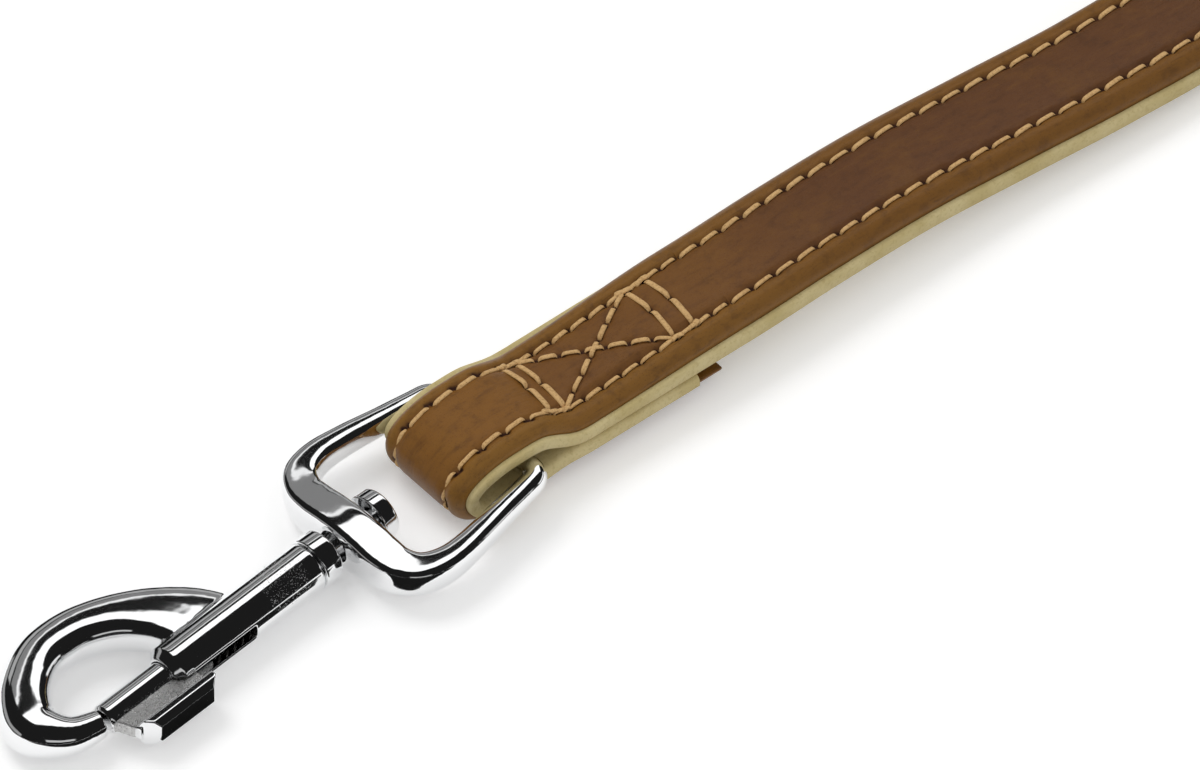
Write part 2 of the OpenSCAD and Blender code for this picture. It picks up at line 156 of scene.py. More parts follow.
def foldPath(tailEnd):
    # coarse points as in the source; the strip maker resamples them smoothly
    sewn, reach, arch = strap["sewnX"], strap["foldReach"], 1.5
    midZ, turnR = (lowZ + topZ) / 2, (topZ - lowZ) / 2
    p = [(x, tailZ) for x in span(tailEnd, sewn, 3)]
    p += [(x, mix(lowZ, tailZ, ease((x - 2) / (sewn - 4)))) for x in span(sewn - 2, 2, 5)]
    p += [(x, lowZ) for x in (1, -2, -5)]
    p += [(turnR - reach - turnR * s, midZ - turnR * c) for c, s in map(circle, span(0, 90, 9))]
    p += [(-arch - (reach - arch) * c, midZ + turnR * s) for c, s in map(circle, span(10, 90, 9))]
    p += [(x, mix(topZ, mainZ, ease((x - arch) / (sewn - arch)))) for x in span(arch, sewn, 7)]
    p += [(x, mix(mainZ, freeZ, freeAt(x))) for x in span(sewn + 3, seamX, 10)]
    return [np.array((x, 0.0, z)) for x, z in p]


# x, y, z and twist in degrees of the free strap
freeRoute = [(seamX, 0, freeZ, 0), (58, 0.5, 8.1, 0), (76, 0.85, 7.5, 0), (95, 0.45, 6.3, 0),
             (114, -0.4, 5.6, 0), (132, -0.4, 5.4, 3), (148, 1.0, 6.6, 18), (162, 2.5, 9.2, 40), (176, 3, 10.7, 66),
             (188, 3, 10.9, 85), (196, 3, 10.7, 90)]
coilZ = strap["liningHalf"] + strap["tieT"] + 0.1
coilOutR = strap["coilEyeR"] + 2 * strap["coilPitch"] * strap["coilTurns"]
coilY = strap["coilStartY"] + coilOutR
handX = strap["coilX"] + (strap["coilX"] - strap["coilStartX"])
handOpenX = handX + 4 + strap["handSewnLen"]
handMidY = coilY + coilOutR + strap["liningFoldT"] + strap["sewnGap"] / 2
handEndX = handOpenX + strap["handOpenLen"]


def coilPath(step):
    # both arms of the roll, joined by the bend back through its eye
    armEnd = 360 * strap["coilTurns"]
    eyeTurn, eyeR = armEnd - 90, strap["coilEyeR"] / 2
    centre = np.array((strap["coilX"], coilY, coilZ))

    def ray(a, r):
        return r * np.array((*circle(a), 0.0))

    def arm(a, turned):
        return centre + ray(a - 90 + turned, coilOutR - 2 * strap["coilPitch"] * a / 360)

    def eye(k, a):
        return centre + ray(eyeTurn, k * eyeR) + ray(a, eyeR)
    turns = span(0, armEnd, int(armEnd / step))
    bends = span(0, 180, int(180 / step / 0.6))
    p = [np.array((x, strap["coilStartY"], coilZ)) for x in span(strap["coilStartX"], strap["coilX"] - 4, 4)]
    p += [arm(a, 0) for a in turns]
    p += [eye(1, eyeTurn + a) for a in bends[1:]]
    p += [eye(-1, eyeTurn - a) for a in bends[1:-1]]
    p += [arm(a, 180) for a in reversed(turns)]
    return p + [np.array((x, coilY + coilOutR, coilZ)) for x in span(strap["coilX"] + 4, handX, 4)]


def handZ(x):
    return strap["liningHalf"] + (coilZ - strap["liningHalf"]) * (1 - ease((x - handX) / 30))


def handPoint(x, k):
    side = mix(strap["liningFoldT"] + strap["sewnGap"] / 2, strap["handHalfW"],
               ease((x - handOpenX) / strap["handOpenLen"]))
    return np.array((x, handMidY + k * side, handZ(x)))


def handPath(tailEnd):
    p = [handPoint(x, -1) for x in span(handX, handOpenX - 2, 12) + span(handOpenX, handEndX - 4, 16)]
    p += [np.array((handEndX + strap["handHalfW"] * c, handMidY + strap["handHalfW"] * s, strap["liningHalf"]))
          for c, s in map(circle, span(-90, 90, 24))]
    return p + [handPoint(x, 1) for x in span(handEndX - 4, handOpenX, 16) + span(handOpenX - 2, tailEnd, 10)]


# a strip is the strap's middle line with its frame at even steps:
# p the seam between the layers, n outwards (leather side), l sideways, s the length so far
def makeStrip(points, outs, step, headEnds, extras, fineTo=None, coarse=2.4):
    points, outs = np.array(points, float), np.array(outs, float)
    s = np.concatenate([[0], np.cumsum(np.linalg.norm(np.diff(points, axis=0), axis=1))])
    near = fineTo or s[-1]
    at = np.linspace(0, near, int(round(near / step)) + 1)
    if fineTo:
        at = np.concatenate([at, np.linspace(near, s[-1], int(round((s[-1] - near) / coarse)) + 1)[1:]])
    # a second ring close to each end keeps the cap's turn out of the shading
    at = np.concatenate([at[:1], at[:1] + 0.03, at[1:-1], at[-1:] - 0.03, at[-1:]])
    straight = [end for end, flat in zip((0, -1), headEnds) if flat]
    tang = np.gradient(points, s, axis=0)
    tang[straight] = (1, 0, 0)
    # cubic through the points, by arc length
    j = np.clip(np.searchsorted(s, at) - 1, 0, len(s) - 2)
    h = (s[j + 1] - s[j])[:, None]
    t = (at - s[j])[:, None] / h
    p = ((2 * t ** 3 - 3 * t ** 2 + 1) * points[j] + (t ** 3 - 2 * t ** 2 + t) * h * tang[j]
         + (3 * t ** 2 - 2 * t ** 3) * points[j + 1] + (t ** 3 - t ** 2) * h * tang[j + 1])
    n = mix(outs[j], outs[j + 1], t)
    d = np.gradient(p, axis=0)
    d[straight] = (1, 0, 0)
    d /= np.linalg.norm(d, axis=1)[:, None]
    n -= d * np.sum(n * d, axis=1)[:, None]
    n /= np.linalg.norm(n, axis=1)[:, None]
    return {"p": p, "n": n, "l": np.cross(n, d), "s": at, **{k: np.interp(at, s, v) for k, v in extras.items()}}


print("routes ready")


# ---------- mesh helpers ----------
def newObject(name, verts, faces, attributes=None, smooth=True):
    mesh = bpy.data.meshes.new(name)
    mesh.from_pydata([tuple(v) for v in verts], [], faces)
    for key, values in (attributes or {}).items():
        layer = mesh.attributes.new(key, "FLOAT", "POINT")
        layer.data.foreach_set("value", np.asarray(values, np.float32))
    if smooth:
        mesh.shade_smooth()
        for face in mesh.polygons:
            face.use_smooth = len(face.vertices) < 5
    mesh.update()
    obj = bpy.data.objects.new(name, mesh)
    bpy.context.scene.collection.objects.link(obj)
    return obj


def ringFaces(rings, around):
    # walls between rings of points, capped at both ends
    faces = []
    for i in range(rings - 1):
        for j in range(around):
            a, b = i * around + j, i * around + (j + 1) % around
            faces.append((a, b, b + around, a + around))
    faces.append(tuple(range(around - 1, -1, -1)))
    return faces + [tuple(range((rings - 1) * around, rings * around))]


def recalcNormals(obj):
    bm = bmesh.new()
    bm.from_mesh(obj.data)
    bmesh.ops.recalc_face_normals(bm, faces=bm.faces)
    bm.to_mesh(obj.data)
    bm.free()


def applyModifiers(obj):
    # keeps the object and gives it the evaluated mesh
    graph = bpy.context.evaluated_depsgraph_get()
    mesh = bpy.data.meshes.new_from_object(obj.evaluated_get(graph))
    old = obj.data
    obj.modifiers.clear()
    obj.data = mesh
    mesh.name = obj.name
    bpy.data.meshes.remove(old)
    return obj


def joinSolid(base, others, operation):
    for other in others:
        m = base.modifiers.new("shape", "BOOLEAN")
        m.operation = operation
        m.solver = "MANIFOLD"
        m.object = other
    applyModifiers(base)
    for other in others:
        bpy.data.objects.remove(other, do_unlink=True)
    return base


# ---------- node helpers ----------
def put(tree, kind, inputs=None, **settings):
    node = tree.nodes.new(kind)
    for key, value in settings.items():
        setattr(node, key, value)
    for key, value in (inputs or {}).items():
        if isinstance(value, bpy.types.NodeSocket):
            tree.links.new(value, node.inputs[key])
        else:
            node.inputs[key].default_value = value
    return node


def calc(tree, kind, a, b, clamp=False):
    return put(tree, "ShaderNodeMath", {0: a, 1: b}, operation=kind, use_clamp=clamp).outputs[0]


def times(tree, a, b):
    return calc(tree, "MULTIPLY", a, b)


def plus(tree, a, b):
    return calc(tree, "ADD", a, b)


# ---------- strap strips ----------
leatherForm = {
    "edgeBand": 2.9,  # mm over which the leather rolls down to its edge
    "edgePower": 2.3,
    "crownHalf": 5.2,
    "puff": 0.35,  # how far the leather swells between the box's seams
    "rowDepth": 0.26,  # the long hollow under each row of stitches
    "rowPull": 0.25,
    "rowWidth": 0.8,
    "stitchDepth": 0.10,  # the groove under each stitch
    "stitchWidth": 0.55,
    "holeDepth": 0.5,  # the pit at each hole
    "holeWidth": 0.50,
    "nearby": 2.0,  # mm past a stitch that its groove is worked out for
    "farFrom": 6.6,  # beyond this the far side is drawn in at the fold, and out on the free strap
    "farFold": 0.84,
    "farFree": 1.08,
    "liningIn": 0.35,  # the lining's far edge shows less on the free strap
    "liningRow": 0.14,
}
leatherUnder = [-8.8, -4, 0, 4, 8.8]
leatherAcross = [9.4, 9.36, 9.25, 9.05, 8.75, 8.35, 7.9, 7.45, 7.05, 6.75, 6.5, 6.3, 6.1, 5.95, 5.8, 5.65, 5.5,
                 5.3, 5.1, 4.8, 4.4, 3.9, 3.3, 2.7, 2.1, 1.5, 0.9, 0.3]
coarseAcross = [9.4, 9.3, 8.9, 8.2, 7.4, 6.6, 6.1, 5.8, 5.5, 5.0, 3.8, 2.2, 0.7]


def leatherHeight(a, free, sunk):
    # height of the leather's face over the seam between the layers
    f, x = leatherForm, np.abs(a)
    e = np.clip((x - strap["leatherHalf"]) / f["edgeBand"] + 1, 0, 1)
    h = mix(strap["leatherFoldT"], strap["leatherT"], free) * np.sqrt(1 - e ** f["edgePower"])
    h = h + (strap["crown"] * free + f["puff"] * sunk) * np.maximum(0, 1 - (x / f["crownHalf"]) ** 2)
    return h - (f["rowDepth"] + f["rowPull"] * sunk) * np.exp(-((x - strap["rowY"]) / f["rowWidth"]) ** 2)


def stripObject(name, strip, places, heights, startAlong, attributes):
    verts = strip["p"][:, None] + strip["l"][:, None] * places[..., None] + strip["n"][:, None] * heights[..., None]
    rings, around = places.shape
    attributes = {"along": np.repeat(startAlong + strip["s"], around), **{k: v.ravel() for k, v in attributes.items()}}
    obj = newObject(name, verts.reshape(-1, 3) * mm, ringFaces(rings, around), attributes)
    recalcNormals(obj)
    return obj


def leatherStrip(name, strip, stitches, across, startAlong):
    f, half, s = leatherForm, strap["leatherHalf"], strip["s"]
    cols = np.array(across + [-a for a in reversed(across)])
    free, sunk = strip["free"][:, None], strip["sunk"][:, None]
    share = (half - strip["narrow"][:, None]) / half
    reach = mix(f["farFold"], f["farFree"], free)
    places = np.where(cols < f["farFrom"], cols, f["farFrom"] + (cols - f["farFrom"]) * reach) * share
    heights = leatherHeight(cols, free, sunk)
    # the thread pulls the leather down: a groove under each stitch and a pit at each hole
    pits = np.zeros_like(heights)
    for st in stitches:
        (s0, a0), (s1, a1) = st["from"], st["to"]
        lo, hi = np.searchsorted(s, (min(s0, s1) - f["nearby"], max(s0, s1) + f["nearby"]))
        ss, aa = s[lo:hi, None], places[lo:hi]
        length = math.hypot(s1 - s0, a1 - a0)
        c, q = (s1 - s0) / length, (a1 - a0) / length
        u, v = (ss - s0) * c + (aa - a0) * q, (aa - a0) * c - (ss - s0) * q
        off = (u - np.clip(u, 0, length)) ** 2 + v ** 2
        heights[lo:hi] -= f["stitchDepth"] * np.exp(-off / f["stitchWidth"] ** 2)
        for hs, ha in (st["from"], st["to"]):
            pit = np.exp(-((ss - hs) ** 2 + (aa - ha) ** 2) / f["holeWidth"] ** 2)
            pits[lo:hi] = np.maximum(pits[lo:hi], pit)
    heights -= f["holeDepth"] * pits
    under = np.array(leatherUnder) * np.ones_like(share)
    flat = np.zeros_like(under)
    return stripObject(name, strip, np.hstack([places, under * share]), np.hstack([heights, flat]), startAlong,
                       {"across": np.hstack([places, under]), "pit": np.hstack([pits, flat])})


def liningStrip(name, strip, startAlong):
    # half the section as place, height and whether it lies on the underside
    half = [(9.3, 0.02, 0), (9.95, 0.0, 0), (10.22, -0.08, 0), (10.36, -0.3, 0), (10.38, -0.6, 0), (10.3, 0.75, 1),
            (10.1, 0.4, 1), (9.8, 0.14, 1), (9.35, 0.02, 1), (8.4, 0, 1)]
    half += [(a, leatherForm["liningRow"] * math.exp(-((a - strap["rowY"]) / 0.5) ** 2), 1)
             for a in (7.2, 6.4, 5.8, 5.2, 4.2, 2.4)]
    section = half + [(0.0, 0, 1)] + [(-a, h, k) for a, h, k in reversed(half)] + [(-4.0, 0, 0), (4.0, 0, 0)]
    side, height, below = np.array(section).T
    free = strip["free"][:, None]
    across = np.where(side > 9, side - leatherForm["liningIn"] * free, side)
    share = 1 - strip["narrow"][:, None] / strap["liningHalf"]
    heights = height - below * mix(strap["liningFoldT"], strap["liningT"], free)
    return stripObject(name, strip, across * share, heights, startAlong, {"across": across})


# ---------- stitches ----------
threadSettings = {
    "width": 0.74,
    "height": 0.40,
    "bow": 0.18,  # how far the middle of a stitch stands up, mm
    "hide": 0.50,  # how far its ends go down into the holes
    "bed": 0.08,  # how deep a stitch lies in the leather, and in the lining
    "backBed": 0.1,
    "overhang": 0.12,
    "slant": 0.14,
    "widthChange": 0.12,
    "twist": 0.04,
    "seed": 11,
}


def makeStitchShape(name, w, ringsAt, sides):
    # one stitch, 1 mm long along X, to be stretched: a flat thread that dives at both ends
    verts = []
    for x in ringsAt:
        e = abs(x) / 0.5
        lift = (w["bow"] + w["hide"]) * (1 - e ** 7) - w["hide"]
        thin = 1 - 0.35 * e ** 6
        for k in range(sides):
            t = 2 * math.pi * k / sides
            verts.append((x * mm, w["width"] / 2 * thin * math.cos(t) * mm,
                          (lift + w["height"] / 2 * thin * math.sin(t)) * mm))
    obj = newObject(name, verts, ringFaces(len(ringsAt), sides))
    recalcNormals(obj)
    return obj


fineStitch = makeStitchShape("fineStitch", threadSettings,
                             [-0.5, -0.48, -0.44, -0.36, -0.2, 0.0, 0.2, 0.36, 0.44, 0.48, 0.5], 8)
plainStitch = makeStitchShape("plainStitch", threadSettings, [-0.5, -0.38, 0.0, 0.38, 0.5], 5)


def makeStitchTree():
    # points with a direction, an up vector and a length become stitches
    tree = bpy.data.node_groups.new("stitchRows", "GeometryNodeTree")
    for name, kind in (("Geometry", "Geometry"), ("Stitch", "Object"), ("Thread", "Material"),
                       ("Width Change", "Float"), ("Twist", "Float"), ("Seed", "Int")):
        tree.interface.new_socket(name, in_out="INPUT", socket_type="NodeSocket" + kind)
    tree.interface.new_socket("Geometry", in_out="OUTPUT", socket_type="NodeSocketGeometry")
    given = put(tree, "NodeGroupInput").outputs

    def named(name, kind="FLOAT"):
        return put(tree, "GeometryNodeInputNamedAttribute", {"Name": name}, data_type=kind).outputs["Attribute"]

    def randomBetween(low, high):
        inputs = {2: low, 3: high, "Seed": given["Seed"]}
        return put(tree, "FunctionNodeRandomValue", inputs, data_type="FLOAT").outputs[1]
    points = put(tree, "GeometryNodeMeshToPoints", {"Mesh": given["Geometry"], "Radius": 0.0001})
    alignX = put(tree, "FunctionNodeAlignRotationToVector", {"Vector": named("dir", "FLOAT_VECTOR")}, axis="X")
    alignZ = put(tree, "FunctionNodeAlignRotationToVector", {
        "Rotation": alignX.outputs["Rotation"], "Vector": named("up", "FLOAT_VECTOR")}, axis="Z", pivot_axis="X")
    about = put(tree, "FunctionNodeAxisAngleToRotation", {
        "Axis": (0, 0, 1), "Angle": randomBetween(times(tree, given["Twist"], -1.0), given["Twist"])})
    turned = put(tree, "FunctionNodeRotateRotation", {
        "Rotation": alignZ.outputs["Rotation"], "Rotate By": about.outputs["Rotation"]}, rotation_space="LOCAL")
    change = given["Width Change"]
    thick = randomBetween(calc(tree, "SUBTRACT", 1.0, change), plus(tree, 1.0, change))
    size = put(tree, "ShaderNodeCombineXYZ", {
        "X": named("length"), "Y": times(tree, thick, named("wide")), "Z": named("rise")})
    shape = put(tree, "GeometryNodeObjectInfo", {"Object": given["Stitch"]})
    place = put(tree, "GeometryNodeInstanceOnPoints", {
        "Points": points.outputs["Points"], "Instance": shape.outputs["Geometry"],
        "Rotation": turned.outputs["Rotation"], "Scale": size.outputs["Vector"]})
    real = put(tree, "GeometryNodeRealizeInstances", {"Geometry": place.outputs["Instances"]})
    dyed = put(tree, "GeometryNodeSetMaterial", {"Geometry": real.outputs["Geometry"], "Material": given["Thread"]})
    put(tree, "NodeGroupOutput", {"Geometry": dyed.outputs["Geometry"]})
    return tree


stitchTree = makeStitchTree()


def setInput(modifier, tree, name, value):
    for item in tree.interface.items_tree:
        if item.item_type == "SOCKET" and item.in_out == "INPUT" and item.name == name:
            modifier[item.identifier] = value


def readStrip(strip, s, key):
    at = strip["s"]
    j = int(min(max(np.searchsorted(at, s) - 1, 0), len(at) - 2))
    u = min(max((s - at[j]) / (at[j + 1] - at[j]), 0.0), 1.0)
    return mix(strip[key][j], strip[key][j + 1], u)


def placeOnStrip(strip, s, a, h=0.0):
    k = (strap["leatherHalf"] - readStrip(strip, s, "narrow")) / strap["leatherHalf"]
    n = readStrip(strip, s, "n")
    return readStrip(strip, s, "p") + readStrip(strip, s, "l") * a * k + n * h, n


def faceHeight(strip, s, a, lining):
    free = readStrip(strip, s, "free")
    if lining:
        return threadSettings["backBed"] - mix(strap["liningFoldT"], strap["liningT"], free)
    return leatherHeight(a, free, readStrip(strip, s, "sunk")) - threadSettings["bed"]


def stitchField(name, strip, stitches, shape, lining=False):
    places = []
    facts = {key: [] for key in ("dir", "up", "length", "rise", "wide")}
    for st in stitches:
        ends = (st["from"], st["to"])
        (q0, n0), (q1, n1) = (placeOnStrip(strip, s, a, faceHeight(strip, s, a, lining)) for s, a in ends)
        low = sum(placeOnStrip(strip, s, a)[0] for s, a in ends) / 2
        middle = placeOnStrip(strip, *np.mean(ends, axis=0))[0]
        up, d = (n0 + n1) / 2, q1 - q0
        # on a bend the middle of a stitch lies further out than its ends
        bulge = 0.0 if lining else max(0.0, float(np.dot(middle - low, up)))
        up = -up if lining else up
        length = np.linalg.norm(d)
        places.append(((q0 + q1) / 2 + up * (bulge * 0.8 + st.get("lift", 0.0))) * mm)
        for key, value in (("dir", d / length), ("up", up), ("length", length + threadSettings["overhang"]),
                           ("rise", st.get("rise", 1.0) + bulge * 0.5), ("wide", st.get("wide", 1.0))):
            facts[key].append(value)
    mesh = bpy.data.meshes.new(name)
    mesh.from_pydata([tuple(v) for v in places], [], [])
    for key, values in facts.items():
        kind, field = ("FLOAT_VECTOR", "vector") if key in ("dir", "up") else ("FLOAT", "value")
        mesh.attributes.new(key, kind, "POINT").data.foreach_set(field, np.asarray(values, np.float32).ravel())
    obj = bpy.data.objects.new(name, mesh)
    bpy.context.scene.collection.objects.link(obj)
    m = obj.modifiers.new("stitches", "NODES")
    m.node_group = stitchTree
    for key, value in (("Stitch", shape), ("Thread", threadMat), ("Width Change", threadSettings["widthChange"]),
                       ("Twist", threadSettings["twist"]), ("Seed", threadSettings["seed"])):
        setInput(m, stitchTree, key, value)
    applyModifiers(obj)
    obj.data.shade_smooth()
    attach(obj, "strap")
    return obj


def rowStitches(a, first, last, pitch, gap):
    # the needle goes in a little beside where it came out, so each stitch lies aslant
    count = max(1, int(round((last - first) / pitch)))
    step = (last - first) / count
    return [{"from": (first + step * i + gap, a - threadSettings["slant"]),
             "to": (first + step * (i + 1) - gap, a + threadSettings["slant"])} for i in range(count)]


def edgeRows(*runs):
    # the rows along both edges, each in runs of first and last place, pitch and gap
    return [st for a in (strap["rowY"], -strap["rowY"]) for run in runs for st in rowStitches(a, *run)]


def lineStitches(start, end, count, lift, gap=0.1):
    (s0, a0), (s1, a1) = start, end
    return [{"from": (mix(s0, s1, (i + gap) / count), mix(a0, a1, (i + gap) / count)),
             "to": (mix(s0, s1, (i + 1 - gap) / count), mix(a0, a1, (i + 1 - gap) / count)), "lift": lift}
            for i in range(count)]


# ---------- material nodes ----------
def newMaterial(name):
    material = bpy.data.materials.new(name)
    material.use_nodes = True
    return material, material.node_tree, material.node_tree.nodes["Principled BSDF"]


def smoothBand(tree, value, low, high):
    return put(tree, "ShaderNodeMapRange", {"Value": value, "From Min": low, "From Max": high},
               interpolation_type="SMOOTHSTEP").outputs["Result"]


def blendColour(tree, fac, a, b):
    colours = {k: v if isinstance(v, bpy.types.NodeSocket) else (*v, 1.0) for k, v in ((6, a), (7, b))}
    return put(tree, "ShaderNodeMix", {0: fac, **colours}, data_type="RGBA").outputs[2]


def stain(tree, colour, mask, strength, tint):
    return blendColour(tree, times(tree, mask, strength), colour, tint)


def readAttribute(tree, name):
    return put(tree, "ShaderNodeAttribute", attribute_name=name, attribute_type="GEOMETRY").outputs["Fac"]


def noiseOf(tree, vector, scale, detail=3.0, rough=0.55):
    return put(tree, "ShaderNodeTexNoise", {"Vector": vector, "Scale": scale, "Detail": detail,
                                            "Roughness": rough}).outputs["Fac"]


def grainAlong(tree, alongScale, acrossScale, scale, detail, rough):
    # noise drawn out along the strap
    at = put(tree, "ShaderNodeCombineXYZ", {"X": times(tree, readAttribute(tree, "along"), alongScale),
                                            "Y": times(tree, readAttribute(tree, "across"), acrossScale)})
    return noiseOf(tree, at.outputs[0], scale, detail, rough)


def objectPoint(tree):
    return put(tree, "ShaderNodeTexCoord").outputs["Object"]


def bumpOf(tree, height, strength, distance, **more):
    return put(tree, "ShaderNodeBump", {"Strength": strength, "Distance": distance, "Height": height,
                                        **more}).outputs["Normal"]


def finish(tree, shader, colour, normal, rough, specular):
    tree.links.new(colour, shader.inputs["Base Color"])
    tree.links.new(normal, shader.inputs["Normal"])
    if isinstance(rough, bpy.types.NodeSocket):
        tree.links.new(rough, shader.inputs["Roughness"])
    else:
        shader.inputs["Roughness"].default_value = rough
    shader.inputs["Specular IOR Level"].default_value = specular


# ---------- leather, lining and thread ----------
# the hole colour is painted shade in the stitch holes
leashLook = {"middle": (0.112, 0.042, 0.0115), "edge": (0.178, 0.075, 0.0105), "deep": (0.055, 0.021, 0.007),
             "tan": (0.200, 0.083, 0.0125), "tanEdge": (0.215, 0.098, 0.014), "holeShade": (0.040, 0.012, 0.005),
             "edgeFrom": 5.2, "edgeTo": 6.6, "wander": 2.4, "rough": 0.42, "pore": 2600.0}
tieLook = dict(leashLook, middle=(0.05, 0.022, 0.011), edge=(0.09, 0.04, 0.015), rough=0.45)


def leatherMaterial(name, look):
    material, tree, shader = newMaterial(name)
    point, tan, pit = objectPoint(tree), readAttribute(tree, "tan"), readAttribute(tree, "pit")
    streak = grainAlong(tree, 0.20, 0.75, 1.0, 6.0, 0.66)
    crease = grainAlong(tree, 0.10, 1.6, 1.6, 4.0, 0.6)
    cloud = noiseOf(tree, point, 110.0, 4.0, 0.6)
    mottle = noiseOf(tree, point, 520.0, 4.0, 0.65)
    fine = noiseOf(tree, point, 1500.0, 4.0, 0.6)
    cells = put(tree, "ShaderNodeTexVoronoi", {"Vector": point, "Scale": look["pore"]}).outputs["Distance"]
    pore = smoothBand(tree, cells, 0.32, 0.05)
    # dark middle and lighter rims, with a border that wanders
    side = calc(tree, "ABSOLUTE", readAttribute(tree, "across"), 0.0)
    wander = times(tree, calc(tree, "SUBTRACT", cloud, 0.5), look["wander"])
    edge = smoothBand(tree, plus(tree, side, wander), look["edgeFrom"], look["edgeTo"])
    rim = blendColour(tree, tan, look["edge"], look["tanEdge"])
    colour = blendColour(tree, edge, blendColour(tree, tan, look["middle"], look["tan"]), rim)
    scratch = times(tree, smoothBand(tree, crease, 0.60, 0.72), edge)
    for mask, strength, tint in ((smoothBand(tree, streak, 0.48, 0.74), 0.42, look["deep"]),
                                 (smoothBand(tree, streak, 0.5, 0.24), 0.38, rim),
                                 (smoothBand(tree, cloud, 0.5, 0.75), 0.35, rim),
                                 (smoothBand(tree, mottle, 0.5, 0.72), 0.30, look["deep"]),
                                 (pore, 0.35, look["deep"]),
                                 # painted shade: the stitch holes are darkened where the pit attribute is set
                                 (smoothBand(tree, pit, 0.25, 0.8), 1.0, look["holeShade"]),
                                 (scratch, 0.45, look["deep"])):
        colour = stain(tree, colour, mask, strength, tint)
    height = plus(tree, times(tree, fine, 0.55), times(tree, crease, 0.9))
    height = calc(tree, "SUBTRACT", height, times(tree, pore, 0.30))
    rough = plus(tree, plus(tree, times(tree, fine, 0.18), look["rough"] - 0.09), times(tree, pit, 0.3))
    finish(tree, shader, colour, bumpOf(tree, height, 0.45, 0.00012), rough, 0.28)
    return material


liningLook = {"cream": (0.50, 0.40, 0.175), "dark": (0.36, 0.27, 0.10), "pale": (0.60, 0.50, 0.26), "rough": 0.62}


def liningMaterial(name, look):
    material, tree, shader = newMaterial(name)
    point = objectPoint(tree)
    cloud = noiseOf(tree, point, 120.0, 3.0)
    grain = noiseOf(tree, point, 1900.0, 3.0, 0.65)
    fibre = grainAlong(tree, 0.35, 2.5, 2.0, 4.0, 0.6)
    colour = blendColour(tree, smoothBand(tree, cloud, 0.35, 0.7), look["cream"], look["pale"])
    colour = stain(tree, colour, smoothBand(tree, grain, 0.48, 0.78), 0.55, look["dark"])
    colour = stain(tree, colour, smoothBand(tree, fibre, 0.5, 0.8), 0.30, look["dark"])
    height = plus(tree, times(tree, grain, 0.8), times(tree, fibre, 0.4))
    finish(tree, shader, colour, bumpOf(tree, height, 0.5, 0.00012), look["rough"], 0.3)
    return material


threadLook = {"light": (0.62, 0.39, 0.165), "dark": (0.40, 0.225, 0.08), "rough": 0.55}


def threadMaterial(name, look):
    material, tree, shader = newMaterial(name)
    point = objectPoint(tree)
    fibre = noiseOf(tree, point, 3000.0, 3.0, 0.6)
    cloud = noiseOf(tree, point, 420.0, 2.0)
    colour = blendColour(tree, smoothBand(tree, fibre, 0.28, 0.55), look["dark"], look["light"])
    colour = stain(tree, colour, smoothBand(tree, cloud, 0.5, 0.8), 0.4, look["dark"])
    finish(tree, shader, colour, bumpOf(tree, fibre, 0.4, 0.00006), look["rough"], 0.35)
    return material


# ---------- metal ----------
plateLook = {"colour": (0.86, 0.865, 0.87), "rough": 0.07, "speck": (0.46, 0.45, 0.43)}


def plateMaterial(name, look):
    # bright plating over a casting: faint waviness, and specks where the cast attribute is set
    material, tree, shader = newMaterial(name)
    point = objectPoint(tree)
    cast = readAttribute(tree, "cast")
    wave = noiseOf(tree, point, 260.0, 2.0)
    grit = noiseOf(tree, point, 2100.0, 4.0, 0.7)
    fleck = noiseOf(tree, point, 3600.0, 5.0, 0.75)
    speck = times(tree, smoothBand(tree, fleck, 0.595, 0.63), smoothBand(tree, cast, 0.2, 0.6))
    rawMetal = smoothBand(tree, cast, 0.85, 0.98)
    pitted = times(tree, grit, rawMetal)
    colour = blendColour(tree, speck, look["colour"], look["speck"])
    colour = blendColour(tree, times(tree, rawMetal, 0.35), colour, (0.42, 0.40, 0.37))
    tree.links.new(colour, shader.inputs["Base Color"])
    shader.inputs["Metallic"].default_value = 1.0
    rough = calc(tree, "ADD", times(tree, pitted, 0.45), look["rough"])
    tree.links.new(calc(tree, "ADD", rough, times(tree, speck, 0.5)), shader.inputs["Roughness"])
    soft = put(tree, "ShaderNodeBump", {"Strength": 0.10, "Distance": 0.0003, "Height": wave}).outputs["Normal"]
    height = calc(tree, "SUBTRACT", pitted, times(tree, speck, 0.6))
    pits = put(tree, "ShaderNodeBump", {"Strength": 0.8, "Distance": 0.00025, "Height": height, "Normal": soft})
    tree.links.new(pits.outputs["Normal"], shader.inputs["Normal"])
    return material


leashLeatherMat = leatherMaterial("brownLeather", leashLook)
tieLeatherMat = leatherMaterial("darkLeather", tieLook)
liningMat = liningMaterial("creamLining", liningLook)
threadMat = threadMaterial("waxedThread", threadLook)
plateMat = plateMaterial("brightPlate", plateLook)
# painted shade: the spring inside the bore is coloured near black so that the slot in the barrel shows dark
springShadeMat = plateMaterial("springSteel", {"colour": (0.10, 0.095, 0.09), "rough": 0.4, "speck": (0.04, 0.04, 0.04)})
print("materials ready")


# ---------- strap pieces ----------
def foldStrip(tailEnd, step):
    path = np.array(foldPath(tailEnd))
    heads = np.gradient(path, axis=0)
    heads[-1] = (1, 0, 0)
    heads /= np.linalg.norm(heads, axis=1)[:, None]
    outs = np.stack([-heads[:, 2], np.zeros(len(path)), heads[:, 0]], axis=1)
    x = path[:, 0]
    top = np.arange(len(path)) > len(path) // 2
    free = [freeAt(a) if t else 0.0 for a, t in zip(x, top)]
    narrow = [strap["loopNarrow"] * (1 - ease((a - 3) / (strap["sewnX"] - 3))) for a in x]
    sunk = [ease((a - 4) / 4) * (1 - ease((a - 33) / 5)) if t else 0.0 for a, t in zip(x, top)]
    return makeStrip(path, outs, step, (False, True), {"free": free, "narrow": narrow, "sunk": sunk})


def topStation(strip, x):
    # the strip's own length at X on the upper run
    p = strip["p"]
    turn = int(np.argmin(p[:, 0]))
    return float(np.interp(x, p[turn:, 0], strip["s"][turn:]))


